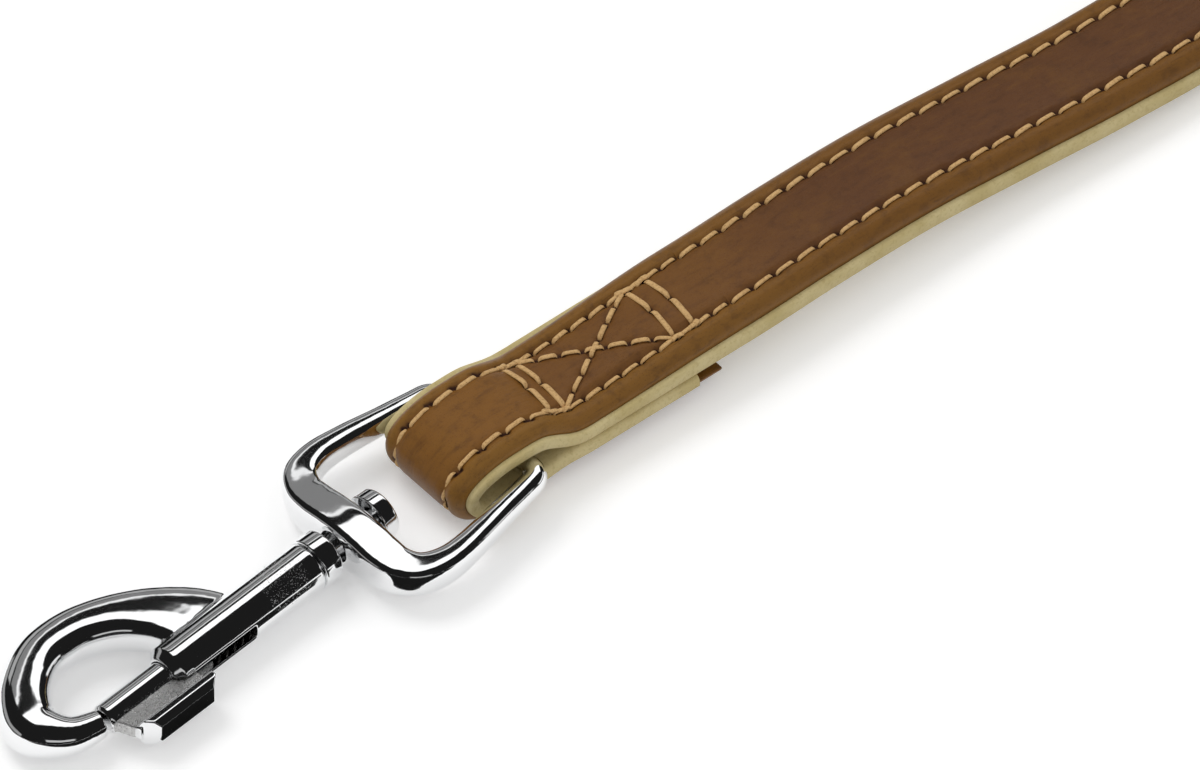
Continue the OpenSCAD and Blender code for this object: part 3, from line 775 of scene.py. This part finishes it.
def addTan(strip, obj):
    # loop and box are coloured lighter; this fades out along the strap and under the tail
    x = strip["p"][:, 0]
    turn = int(np.argmin(x))
    value = [1 - ease((a + 2) / 14) if i < turn else
             mix(1.0, 0.55, ease((a - 2) / 12)) * (1 - ease((a - 34) / 34)) for i, a in enumerate(x)]
    per = len(obj.data.vertices) // len(x)
    obj.data.attributes.new("tan", "FLOAT", "POINT").data.foreach_set("value", np.repeat(value, per).astype(np.float32))


def dress(obj, body, material, slotName, *nodes):
    if material:
        obj.data.materials.clear()
        obj.data.materials.append(material)
    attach(obj, body)
    if nodes:
        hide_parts(*nodes)
    return obj


foldLeather = foldStrip(strap["tailLen"], 0.45)
foldLining = foldStrip(strap["tailLen"] - strap["tailLip"] - 1.5, 0.6)
foldLength = foldLeather["s"][-1]
row, pitch, gap = strap["rowY"], strap["stitchPitch"], 0.36
box = {"cross": (6.8, 9.8, 30.5, 34.0), "pitch": 3.6, "gap": 0.22, "diagonalStitches": 7, "seed": 5, "inset": 0.4,
       "middleGap": 0.3, "sway": 0.25, "stitch": {"lift": 0.20, "rise": 1.2, "wide": 1.3}}

stations = [topStation(foldLeather, x) for x in box["cross"]]
foldStitches = edgeRows((2.5, stations[0], pitch, gap), (stations[0], stations[-1], box["pitch"], box["gap"]),
                        (stations[-1], foldLength - 0.1, 3.3, 0.3))
boxStitches = []
random.seed(box["seed"])
for at in stations:
    sway = at + random.uniform(-box["sway"], box["sway"])
    boxStitches += [{"from": (at, box["inset"] - row), "to": (sway, -box["middleGap"]), **box["stitch"]},
                    {"from": (sway, box["middleGap"]), "to": (at, row - box["inset"]), **box["stitch"]}]
boxStitches += lineStitches((stations[1], row), (stations[2], -row), box["diagonalStitches"], 0.05)
boxStitches += lineStitches((stations[1], -row), (stations[2], row), box["diagonalStitches"], 0.12)
# back stitches at the corners of the box
knots = []
for at in stations:
    for sideRow in (row, -row):
        for back in (0.0, math.pi):
            r = random.uniform(0.8, 1.7)
            turn = random.uniform(-0.5, 0.5) + back
            c, s = math.cos(turn), math.sin(turn)
            knots.append({"from": (at - 0.3 * c, sideRow - 0.3 * s), "to": (at + r * c, sideRow + 0.6 * r * s),
                          "lift": 0.2, "wide": 1.15})

frontLeather = leatherStrip("frontLeather", foldLeather, foldStitches + boxStitches, leatherAcross, 0.0)
addTan(foldLeather, frontLeather)
dress(frontLeather, "strap", leashLeatherMat, "leather_tan", "front_leather")
frontLining = liningStrip("frontLining", foldLining, 0.0)
dress(frontLining, "strap", liningMat, "lining_cream", "front_lining")
frontThread = stitchField("frontThread", foldLeather, foldStitches + boxStitches + knots, fineStitch)
print("front fold:", len(frontLeather.data.vertices), "points,", len(foldStitches + boxStitches), "stitches")

# free run and roll in one strip
routePoints, routeOuts = [], []
for x, y, z, twist in freeRoute:
    routePoints.append((x, y, z))
    routeOuts.append((0, -math.sin(math.radians(twist)), math.cos(math.radians(twist))))
rollPoints = coilPath(6.0)[1:]
rollHeads = np.gradient(np.array([routePoints[-1]] + rollPoints), axis=0)[1:]
for q, h in zip(rollPoints, rollHeads):
    routePoints.append(tuple(q))
    routeOuts.append((h[1] / math.hypot(h[0], h[1]), -h[0] / math.hypot(h[0], h[1]), 0))
routeOuts[-1] = (0, -1, 0)
plain = np.zeros(len(routePoints))
fineLength = 95.0  # mm, as far as the photograph shows the strap
leash = makeStrip(routePoints, routeOuts, 0.5, (True, True), {"free": plain + 1, "narrow": plain, "sunk": plain},
                  fineLength)
leashLength = leash["s"][-1]
leashNear = edgeRows((0.1, fineLength, pitch, gap))
leashFar = edgeRows((fineLength, leashLength - 1, pitch, gap))
leashLeather = leatherStrip("leashLeather", leash, leashNear, leatherAcross, foldLength)
addTan(leash, leashLeather)
dress(leashLeather, "strap", leashLeatherMat, "leather_brown", "strap_leather", "coil_leather")
leashLining = liningStrip("leashLining", leash, foldLength)
dress(leashLining, "strap", liningMat, "lining_cream", "strap_lining", "coil_lining")
leashThread = stitchField("leashThread", leash, leashNear, fineStitch)
rollThread = stitchField("rollThread", leash, leashFar, plainStitch)
backThread = stitchField("backThread", leash, leashNear + leashFar, plainStitch, True)
print("leash:", round(leashLength), "mm,", len(leashLeather.data.vertices), "points")


def handStrip(tailEnd, step):
    path = np.array(handPath(tailEnd))
    heads = np.gradient(path, axis=0)
    heads[0] = (1, 0, 0)
    heads /= np.linalg.norm(heads, axis=1)[:, None]
    outs = np.stack([heads[:, 1], -heads[:, 0], np.zeros(len(path))], axis=1)
    free = [1 - ease((q[0] - handX) / 4) if i < 6 else 0.0 for i, q in enumerate(path)]
    none = [0.0] * len(path)
    return makeStrip(path, outs, step, (True, False), {"free": free, "narrow": none, "sunk": none})


handOuter = handStrip(handX + 5, 1.2)
handInner = handStrip(handX + 5 + strap["tailLip"], 1.5)
# the loop stands on its lining's edge, so the rounded edge stays within the layer's width
handInner["narrow"] = np.full(len(handInner["p"]), 0.38)
handStitches = edgeRows((1.0, handOuter["s"][-1] - 2.5, pitch, gap))
handLeather = leatherStrip("handLeather", handOuter, [], coarseAcross, foldLength + leashLength)
dress(handLeather, "strap", leashLeatherMat, "leather_brown", "hand_leather")
handLining = liningStrip("handLining", handInner, foldLength + leashLength)
dress(handLining, "strap", liningMat, "lining_cream", "hand_lining")
handThread = stitchField("handThread", handOuter, handStitches, plainStitch)
handOpen = [st for st in handStitches if strap["handSewnLen"] + 8 < st["from"][0] < handOuter["s"][-1] - 42]
handBackThread = stitchField("handBackThread", handOuter, handOpen, plainStitch, True)
print("hand loop ready")

for shape in (fineStitch, plainStitch):
    bpy.data.objects.remove(shape, do_unlink=True)


# ---------- tie round the roll ----------
tie = {"angle": 315.0, "inner": 40.15, "outer": 67.85, "low": 0.62, "high": 20.9, "round": 3.2, "width": 10.0}


def makeTie(name, t):
    c, s = circle(t["angle"])
    out, sideways = np.array((c, s, 0.0)), np.array((-s, c, 0.0))
    centre = np.array((strap["coilX"], coilY, 0.0))
    r = t["round"]
    x0, x1, z0, z1 = t["inner"] + r, t["outer"] - r, t["low"] + r, t["high"] - r
    line = []
    for x, z, start in ((x1, z1, 0), (x0, z1, 90), (x0, z0, 180), (x1, z0, 270)):
        line += [(x + r * c, z + r * s, c, s) for c, s in map(circle, span(start, start + 90, 8))]
    # more rings on the straight runs, each with its place and outward direction
    rings = []
    for (x, z, nx, nz), (nextX, nextZ, *_) in zip(line, line[1:] + line[:1]):
        steps = max(1, int(math.hypot(nextX - x, nextZ - z)))
        rings += [(mix(x, nextX, k / steps), mix(z, nextZ, k / steps), nx, nz) for k in range(steps)]
    h, w = strap["tieT"], t["width"] / 2
    half = [(w, 0.1), (w, h - 0.2), (w - 0.25, h - 0.03), (w - 0.9, h), (w / 2, h)]
    section = [(-u, v) for u, v in half] + [(0, h)] + half[::-1] + [(w - 0.2, 0), (0, 0), (0.2 - w, 0)]
    verts = [(centre + out * (x + nx * v) + sideways * u + np.array((0, 0, z + nz * v))) * mm
             for x, z, nx, nz in rings for u, v in section]
    per, count = len(section), len(rings) * len(section)
    # the band closes on itself, so it has no capped ends
    faces = [(a + j, a + (j + 1) % per, (a + per) % count + (j + 1) % per, (a + per) % count + j)
             for a in range(0, count, per) for j in range(per)]
    obj = newObject(name, verts, faces, {"along": np.repeat(np.arange(len(rings)), per),
                                         "across": [u for u, v in section] * len(rings)})
    recalcNormals(obj)
    return obj


coilTie = makeTie("coilTie", tie)
dress(coilTie, "strap", tieLeatherMat, "leather_dark", "coil_tie")


# ---------- snap, eye and gate ----------
hook = {
    "hubS": 37.7, "hub": (-26.509, -1.389, 4.35), "eyeYaw": 3.0, "snapYaw": 2.8, "eyePitch": 3.664,
    "snapPitch": 0.590, "barrelD": 7.8, "barrelLen": 29.3, "boreR": 2.4, "slotLen": 15.4, "slotW": 2.4,
    "hookRows": [(11.5, 0.5, 13, 5.2, 0.6), (9.6, 4.6, 12, 6, 0.6), (6.6, 8.7, 9.8, 6.6, 0.6),
                 (2.6, 12.1, 8.2, 6.8, 0.65), (-2, 14.3, 7.6, 6.8, 0.7), (-6, 15.0, 7.6, 6.9, 0.75),
                 (-9.8, 14.8, 7.6, 7, 0.8), (-13.5, 13.3, 7.8, 7.2, 0.85), (-17.2, 10.5, 8.2, 7.4, 0.85),
                 (-19.7, 6.8, 8.2, 7.4, 0.85), (-19.2, 3.7, 7.0, 6.8, 0.85), (-16.8, 1.1, 5.4, 5.6, 0.9),
                 (-12.5, 0, 4.2, 4.2, 1.0)],
    "eyeRows": [(0, 7.6, 2.9, 2.9, 1), (0, 9.2, 3.7, 3.7, 1), (-0.4, 10.5, 3.7, 3.7, 0.95),
                (-1.4, 11.3, 3.7, 3.7, 0.9), (-3.5, 11.7, 3.7, 3.7, 0.85), (-9, 12.58, 3.8, 4, 0.75),
                (-15.69, 13.68, 4.1, 4.4, 0.65), (-20.48, 13.9, 4.5, 4.8, 0.55), (-24.2, 12.7, 5.2, 5.1, 0.45),
                (-26.1, 10.1, 5.8, 5.6, 0.42), (-26.6, 7, 6.3, 6.5, 0.4), (-26.6, 3.5, 6.5, 7.5, 0.4),
                (-26.6, 0, 6.5, 8, 0.4)],
    "voxel": 0.17,
}


def turnAbout(axis, a):
    return Matrix.Rotation(math.radians(a), 4, axis)


eyePlace = Matrix.Translation((0, 0, barZ)) @ turnAbout("Z", hook["eyeYaw"]) @ turnAbout("Y", -hook["eyePitch"])
snapPlace = (Matrix.Translation(hook["hub"]) @ turnAbout("Z", hook["eyeYaw"] + hook["snapYaw"])
             @ turnAbout("Y", -hook["snapPitch"]) @ Matrix.Translation((-hook["hubS"], 0, 0)))


def ovalBar(name, rows, steps, sides):
    # a bar along rows of x, y, width, height and squareness in the XY plane: 1 is oval, 0 square
    path = np.array(smoothRows(rows, steps))
    n = len(path)
    heads = np.gradient(path[:, :2], axis=0)
    heads /= np.linalg.norm(heads, axis=1)[:, None]
    verts = []
    for (x, y, w, h, square), (hx, hy) in zip(path, heads):
        for k in range(sides):
            t = 2 * math.pi * (k + 0.5) / sides
            c, q = math.cos(t), math.sin(t)
            u = math.copysign(abs(c) ** square, c) * w / 2
            z = math.copysign(abs(q) ** square, q) * h / 2
            verts.append((x - hy * u, y + hx * u, z))
    obj = newObject(name, verts, ringFaces(n, sides))
    recalcNormals(obj)
    return obj


def alongX(name, profile, segments=96):
    # a turned piece about X from its outline of x, r
    verts = []
    for x, r in profile:
        for k in range(segments):
            t = 2 * math.pi * k / segments
            verts.append((x, r * math.cos(t), r * math.sin(t)))
    obj = newObject(name, verts, ringFaces(len(profile), segments))
    recalcNormals(obj)
    return obj


def blockOf(name, points):
    bm = bmesh.new()
    for q in points:
        bm.verts.new(q)
    bmesh.ops.convex_hull(bm, input=bm.verts)
    mesh = bpy.data.meshes.new(name)
    bm.to_mesh(mesh)
    bm.free()
    obj = bpy.data.objects.new(name, mesh)
    bpy.context.scene.collection.objects.link(obj)
    recalcNormals(obj)
    return obj


def prism(outline, halfHeight):
    return [(x, y, z) for x, y in outline for z in (-halfHeight, halfHeight)]


def remeshMetal(obj, voxel, rounds):
    # even small faces, then softened edges as a polished casting has
    m = obj.modifiers.new("even", "REMESH")
    m.mode = "VOXEL"
    m.voxel_size = voxel
    m.use_smooth_shade = True
    f = obj.modifiers.new("soft", "SMOOTH")
    f.factor = 0.5
    f.iterations = rounds
    applyModifiers(obj)


def placeMetal(obj, place, cast=None):
    # cast tells from a point in the piece's own frame how rough the casting shows
    mesh = obj.data
    count = len(mesh.vertices)
    co = np.empty(count * 3, np.float64)
    mesh.vertices.foreach_get("co", co)
    co = co.reshape(-1, 3)
    layer = mesh.attributes.new("cast", "FLOAT", "POINT")
    layer.data.foreach_set("value", (cast(co) if cast else np.zeros(count)).astype(np.float32))
    m = np.array(place)
    out = (co @ m[:3, :3].T + m[:3, 3]) * mm
    mesh.vertices.foreach_set("co", out.ravel())
    mesh.update()
    mesh.shade_smooth()
    return obj


def between(x, a, b, soft):
    return np.clip((x - a) / soft, 0, 1) * np.clip((b - x) / soft, 0, 1)


def snapCast(q):
    # flecks on top of the barrel, near the collar
    return 0.6 * between(q[:, 0], 17.0, 28.8, 5.0) * np.clip(q[:, 2] / 2.5 + 0.3, 0, 1)


def boltCast(q):
    # the neck is left as cast
    return between(q[:, 1], -5.3, -1.6, 0.5)


# snap body: hook and barrel in one casting, bored, with the slot for the bolt's neck
snapBody = ovalBar("snapBody", hook["hookRows"], 10, 48)
barrelR = hook["barrelD"] / 2
barrel = alongX("barrel", [(0, 2.8), (1.4, barrelR), (28.9, barrelR), (hook["barrelLen"], barrelR - 0.3)])
joinSolid(snapBody, [barrel], "UNION")
bore = alongX("bore", [(-3, hook["boreR"]), (32, hook["boreR"])], 64)
slot = blockOf("slot", prism([(x, y) for x in (-1, hook["slotLen"]) for y in (-7.8, 0)], hook["slotW"] / 2))
joinSolid(snapBody, [bore, slot], "DIFFERENCE")
remeshMetal(snapBody, hook["voxel"], 6)
placeMetal(snapBody, snapPlace, snapCast)
dress(snapBody, "snap", plateMat, "bright_plate", "snap_body")

# swivel eye: half of its outline is mirrored, with the bar between its ends and the hub bored for the rivet
mirrored = [(x, -y, *other) for x, y, *other in reversed(hook["eyeRows"][:-1])]
swivelEye = ovalBar("swivelEye", hook["eyeRows"] + mirrored, 8, 48)
pin = alongX("pin", [(-9.3, 1.75), (9.3, 1.75)], 48)
pin.data.transform(turnAbout("Z", 90))
joinSolid(swivelEye, [pin], "UNION")
hubBore = alongX("hubBore", [(-32, 2.6), (-21, 2.6)], 64)
hubPlace = eyePlace.inverted() @ snapPlace @ Matrix.Translation((hook["hubS"] + 26.6, 0, 0))
hubBore.data.transform(hubPlace)
joinSolid(swivelEye, [hubBore], "DIFFERENCE")
remeshMetal(swivelEye, hook["voxel"] + 0.02, 7)
placeMetal(swivelEye, eyePlace)
dress(swivelEye, "eye", plateMat, "bright_plate", "swivel_eye")


def arcProfile(points, rounds):
    # rounds each corner of an outline with a short arc
    out = [points[0]]
    for i in range(1, len(points) - 1):
        p, q, w = (np.array(points[k], float) for k in (i - 1, i, i + 1))
        r = rounds.get(i, 0.0)
        if not r:
            out.append(tuple(q))
            continue
        a, b = (p - q) / np.linalg.norm(p - q), (w - q) / np.linalg.norm(w - q)
        for t in np.linspace(0, 1, 7):
            c = q + a * r * (1 - t) ** 2 + b * r * t ** 2
            out.append(tuple(c))
    out.append(points[-1])
    return out


rivetOutline = arcProfile([(26.6, 0.01), (26.6, 2.33), (29.32, 2.33), (29.32, 4.15), (32.6, 4.15), (32.6, 2.0),
                           (41.5, 2.0), (41.5, 4.0), (44.1, 4.0), (44.1, 2.1), (43.2, 0.9), (43.1, 0.01)],
                          {3: 0.35, 4: 0.5, 7: 0.3, 8: 0.55, 9: 0.25})
swivelRivet = alongX("swivelRivet", rivetOutline)
placeMetal(swivelRivet, snapPlace)
dress(swivelRivet, "snap", plateMat, "bright_plate", "swivel_rivet")

# gate bolt: round bolt, rough neck through the slot and the chamfered thumb pad
gateBolt = alongX("gateBolt", [(-12, 1.9), (-11.5, 2.3), (8, 2.3)], 64)
pad = {"x": -10.0, "end": 4.2, "inner": -5.2, "edge": -5.7, "shoulder": -6.6, "outer": -7.8, "half": 2.4, "cut": 0.9}
neck = blockOf("neck", prism([(-11.7, -1.2), (-10, pad["edge"]), (3.6, pad["edge"]), (3.0, -1.2)], 1.1))
lengthwise = [(pad["x"], pad["inner"]), (pad["end"], pad["inner"]), (pad["end"], pad["shoulder"]),
              (pad["end"] - 1.6, pad["outer"]), (pad["x"] + 2.2, pad["outer"])]
broad = [(pad["x"] + 0.42, pad["edge"]), (pad["end"], pad["edge"]), (pad["end"], pad["shoulder"]),
         (pad["end"] - 0.4, -6.9), (pad["x"] + 1.44, -6.9)]
padShape = blockOf("pad", prism(lengthwise, pad["half"] - pad["cut"]) + prism(broad, pad["half"]))
joinSolid(gateBolt, [neck, padShape], "UNION")
remeshMetal(gateBolt, 0.13, 5)
placeMetal(gateBolt, snapPlace, boltCast)
dress(gateBolt, "gate", plateMat, "bolt_plate", "gate_bolt")

# gate spring: a coil of wire in the bore behind the bolt
spring = {"from": 8.35, "to": 26.15, "wire": 0.45, "turns": 11, "steps": 20, "sides": 10, "play": 0.2,
          "past": 2.0}  # mm


def makeSpring(name, s):
    count = s["turns"] * s["steps"]
    wireR = s["wire"] / 2
    radius = hook["boreR"] - wireR - s["play"]
    verts = []
    for i in range(count + 1):
        t = 2 * math.pi * i / s["steps"]
        out = np.array((0, math.cos(t), math.sin(t)))
        middle = np.array((mix(s["from"] + wireR, s["to"] - wireR, i / count), 0, 0)) + radius * out
        for k in range(s["sides"]):
            a = 2 * math.pi * k / s["sides"]
            verts.append(middle + wireR * (math.cos(a) * out + math.sin(a) * np.array((1, 0, 0))))
    obj = newObject(name, verts, ringFaces(count + 1, s["sides"]))
    recalcNormals(obj)
    return obj


gateSpring = makeSpring("gateSpring", spring)
placeMetal(gateSpring, snapPlace)
# painted shade: the near-black spring darkens the slot and the bore behind it
gateSpring.data.materials.append(springShadeMat)
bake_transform(gateSpring)
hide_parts("gate_spring")
print("metal ready:", len(snapBody.data.polygons), len(swivelEye.data.polygons), len(gateBolt.data.polygons))


# ---------- floor, studio and lamps ----------
studio = {"key": 0.24, "fill": 0.04, "world": 0.70, "floor": 0.90, "lift": 0.24, "domeR": 1.1,
          "tentBlack": 0.012, "cardBlack": 0.012, "floorHalf": 3.0, "floorZ": -0.00005, "cardZ": 0.00008}
viewRight = Vector((0.766, -0.643, 0))
viewAway = Vector((0.643, 0.766, 0))
upward = Vector((0, 0, 1))


def seenRays(tree):
    # 1 for the rays that show the background, 0 for those that light the object
    path = put(tree, "ShaderNodeLightPath").outputs
    seen = calc(tree, "ADD", path["Is Camera Ray"], path["Is Glossy Ray"])
    return calc(tree, "ADD", seen, path["Is Transmission Ray"], True)


def mirroredOnly(obj, material):
    # a piece of the studio that only the bright plate sees
    obj.data.materials.append(material)
    for key in ("visible_camera", "visible_diffuse", "visible_shadow", "visible_transmission"):
        setattr(obj, key, False)


def floorMaterial():
    material, tree, shader = newMaterial("whitePaper")
    shader.inputs["Base Color"].default_value = (studio["floor"],) * 3 + (1,)
    shader.inputs["Roughness"].default_value = 0.9
    shader.inputs["Specular IOR Level"].default_value = 0.0
    shader.inputs["Emission Color"].default_value = (1, 1, 1, 1)
    tree.links.new(times(tree, seenRays(tree), studio["lift"]), shader.inputs["Emission Strength"])
    return material


def makeFloor():
    h, z = studio["floorHalf"], studio["floorZ"]
    obj = newObject("floor", [(-h, -h, z), (h, -h, z), (h, h, z), (-h, h, z)], [(0, 1, 2, 3)], smooth=False)
    obj.data.materials.append(floorMaterial())


makeFloor()


def worldLight():
    world = bpy.data.worlds.new("studioWorld")
    bpy.context.scene.world = world
    world.use_nodes = True
    tree = world.node_tree
    tree.nodes.clear()
    strength = plus(tree, times(tree, seenRays(tree), 1.0 - studio["world"]), studio["world"])
    light = put(tree, "ShaderNodeBackground", {"Color": (1, 1, 1, 1), "Strength": strength})
    end = put(tree, "ShaderNodeOutputWorld")
    tree.links.new(light.outputs[0], end.inputs["Surface"])


worldLight()


def areaLamp(name, direction, distance, size, share):
    # share is the part of a level surface's brightness that the lamp gives
    toward = direction.normalized()
    data = bpy.data.lights.new(name, "AREA")
    data.shape = "DISK"
    data.size = size
    data.energy = share * math.pi ** 2 * distance ** 2 / max(toward.z, 0.2)
    obj = bpy.data.objects.new(name, data)
    obj.location = toward * distance
    obj.rotation_euler = (-toward).to_track_quat("-Z", "Y").to_euler()
    obj.visible_glossy = False
    bpy.context.scene.collection.objects.link(obj)


areaLamp("keyLamp", viewRight * -0.6 + viewAway * 0.55 + upward * 1.15, 0.9, 0.5, studio["key"])
areaLamp("fillLamp", viewRight * 0.9 - viewAway * 0.5 + upward * 1.2, 0.9, 0.8, studio["fill"])


# dark tent with white panels, for what the bright plate mirrors
def bar(tilt, half, length, strength):
    # a panel along X, tilted from overhead towards +Y, all angles in degrees
    t = math.radians(tilt)
    return (Vector((0.44, 0.898 * math.sin(t), 0.898 * math.cos(t))), Vector((1, 0, 0)),
            math.sin(math.radians(half)), length, strength)


panels = [
    # middle of the panel, its long direction, half widths across and along, brightness
    bar(19, 10, 0.50, 1.25),
    bar(41.5, 1.6, 0.40, 1.0),
    bar(49, 6, 0.40, 0.22),
    bar(65, 6, 0.45, 0.40),
    (viewRight * -0.95 + viewAway * 0.15 + upward * 0.22, viewAway, 0.11, 0.70, 0.32),
    (viewRight * 0.2 - viewAway * 0.9 + upward * 0.28, viewRight, 0.10, 0.35, 0.55),
    (viewRight * 0.97 + viewAway * 0.25 + upward * 0.20, viewAway, 0.10, 0.35, 0.85),
]


def makeTent():
    material, tree, shader = newMaterial("studioTent")
    tree.nodes.remove(shader)
    point = put(tree, "ShaderNodeVectorMath", {0: objectPoint(tree)}, operation="NORMALIZE").outputs["Vector"]

    def along(vector):
        return put(tree, "ShaderNodeVectorMath", {0: point, 1: tuple(vector)}, operation="DOT_PRODUCT").outputs["Value"]
    total = 0.0
    for middle, longWay, across, length, strength in panels:
        middle = middle.normalized()
        short = middle.cross(longWay).normalized()
        far = short.cross(middle).normalized()
        a = smoothBand(tree, calc(tree, "ABSOLUTE", along(short), 0.0), across + 0.012, across - 0.012)
        b = smoothBand(tree, calc(tree, "ABSOLUTE", along(far), 0.0), length + 0.015, length - 0.015)
        c = calc(tree, "GREATER_THAN", along(middle), 0.2)
        total = calc(tree, "MAXIMUM", total, times(tree, times(tree, a, b), times(tree, c, strength)))
    total = plus(tree, total, studio["tentBlack"])
    light = put(tree, "ShaderNodeEmission", {"Color": (1, 1, 1, 1), "Strength": total})
    tree.links.new(light.outputs[0], tree.nodes["Material Output"].inputs["Surface"])
    rings, around = 24, 48
    verts = [(0, 0, studio["domeR"])]
    for i in range(1, rings + 1):
        e = math.radians(90 - 90 * i / rings)
        for k in range(around):
            t = 2 * math.pi * k / around
            verts.append((studio["domeR"] * math.cos(e) * math.cos(t), studio["domeR"] * math.cos(e) * math.sin(t),
                          studio["domeR"] * math.sin(e)))
    faces = [(0, 1 + k, 1 + (k + 1) % around) for k in range(around)]
    for i in range(rings - 1):
        for k in range(around):
            b, c = 1 + i * around + k, 1 + i * around + (k + 1) % around
            faces.append((b, b + around, c + around, c))
    obj = newObject("studioTent", verts, faces)
    mirroredOnly(obj, material)


makeTent()


def makeCard():
    # black paper beside the snap, seen only by the bright plate
    material, tree, shader = newMaterial("blackPaper")
    shader.inputs["Base Color"].default_value = (*[studio["cardBlack"]] * 3, 1)
    shader.inputs["Roughness"].default_value = 1.0
    shader.inputs["Specular IOR Level"].default_value = 0.0
    outline = [(-90, -12), (-12, -12), (-10, -8.9), (7, -8.9), (9, -11.5), (32, -11.5), (60, -60), (120, -400),
               (-400, -400), (-400, -12)]
    verts = [snapPlace.to_3x3() @ Vector((x, y, 0)) + snapPlace.translation for x, y in outline]
    verts = [(v.x * mm, v.y * mm, studio["cardZ"]) for v in verts]
    obj = newObject("blackCard", verts, [tuple(range(len(verts)))], smooth=False)
    mirroredOnly(obj, material)


makeCard()

bpy.context.scene.view_settings.view_transform = "Standard"
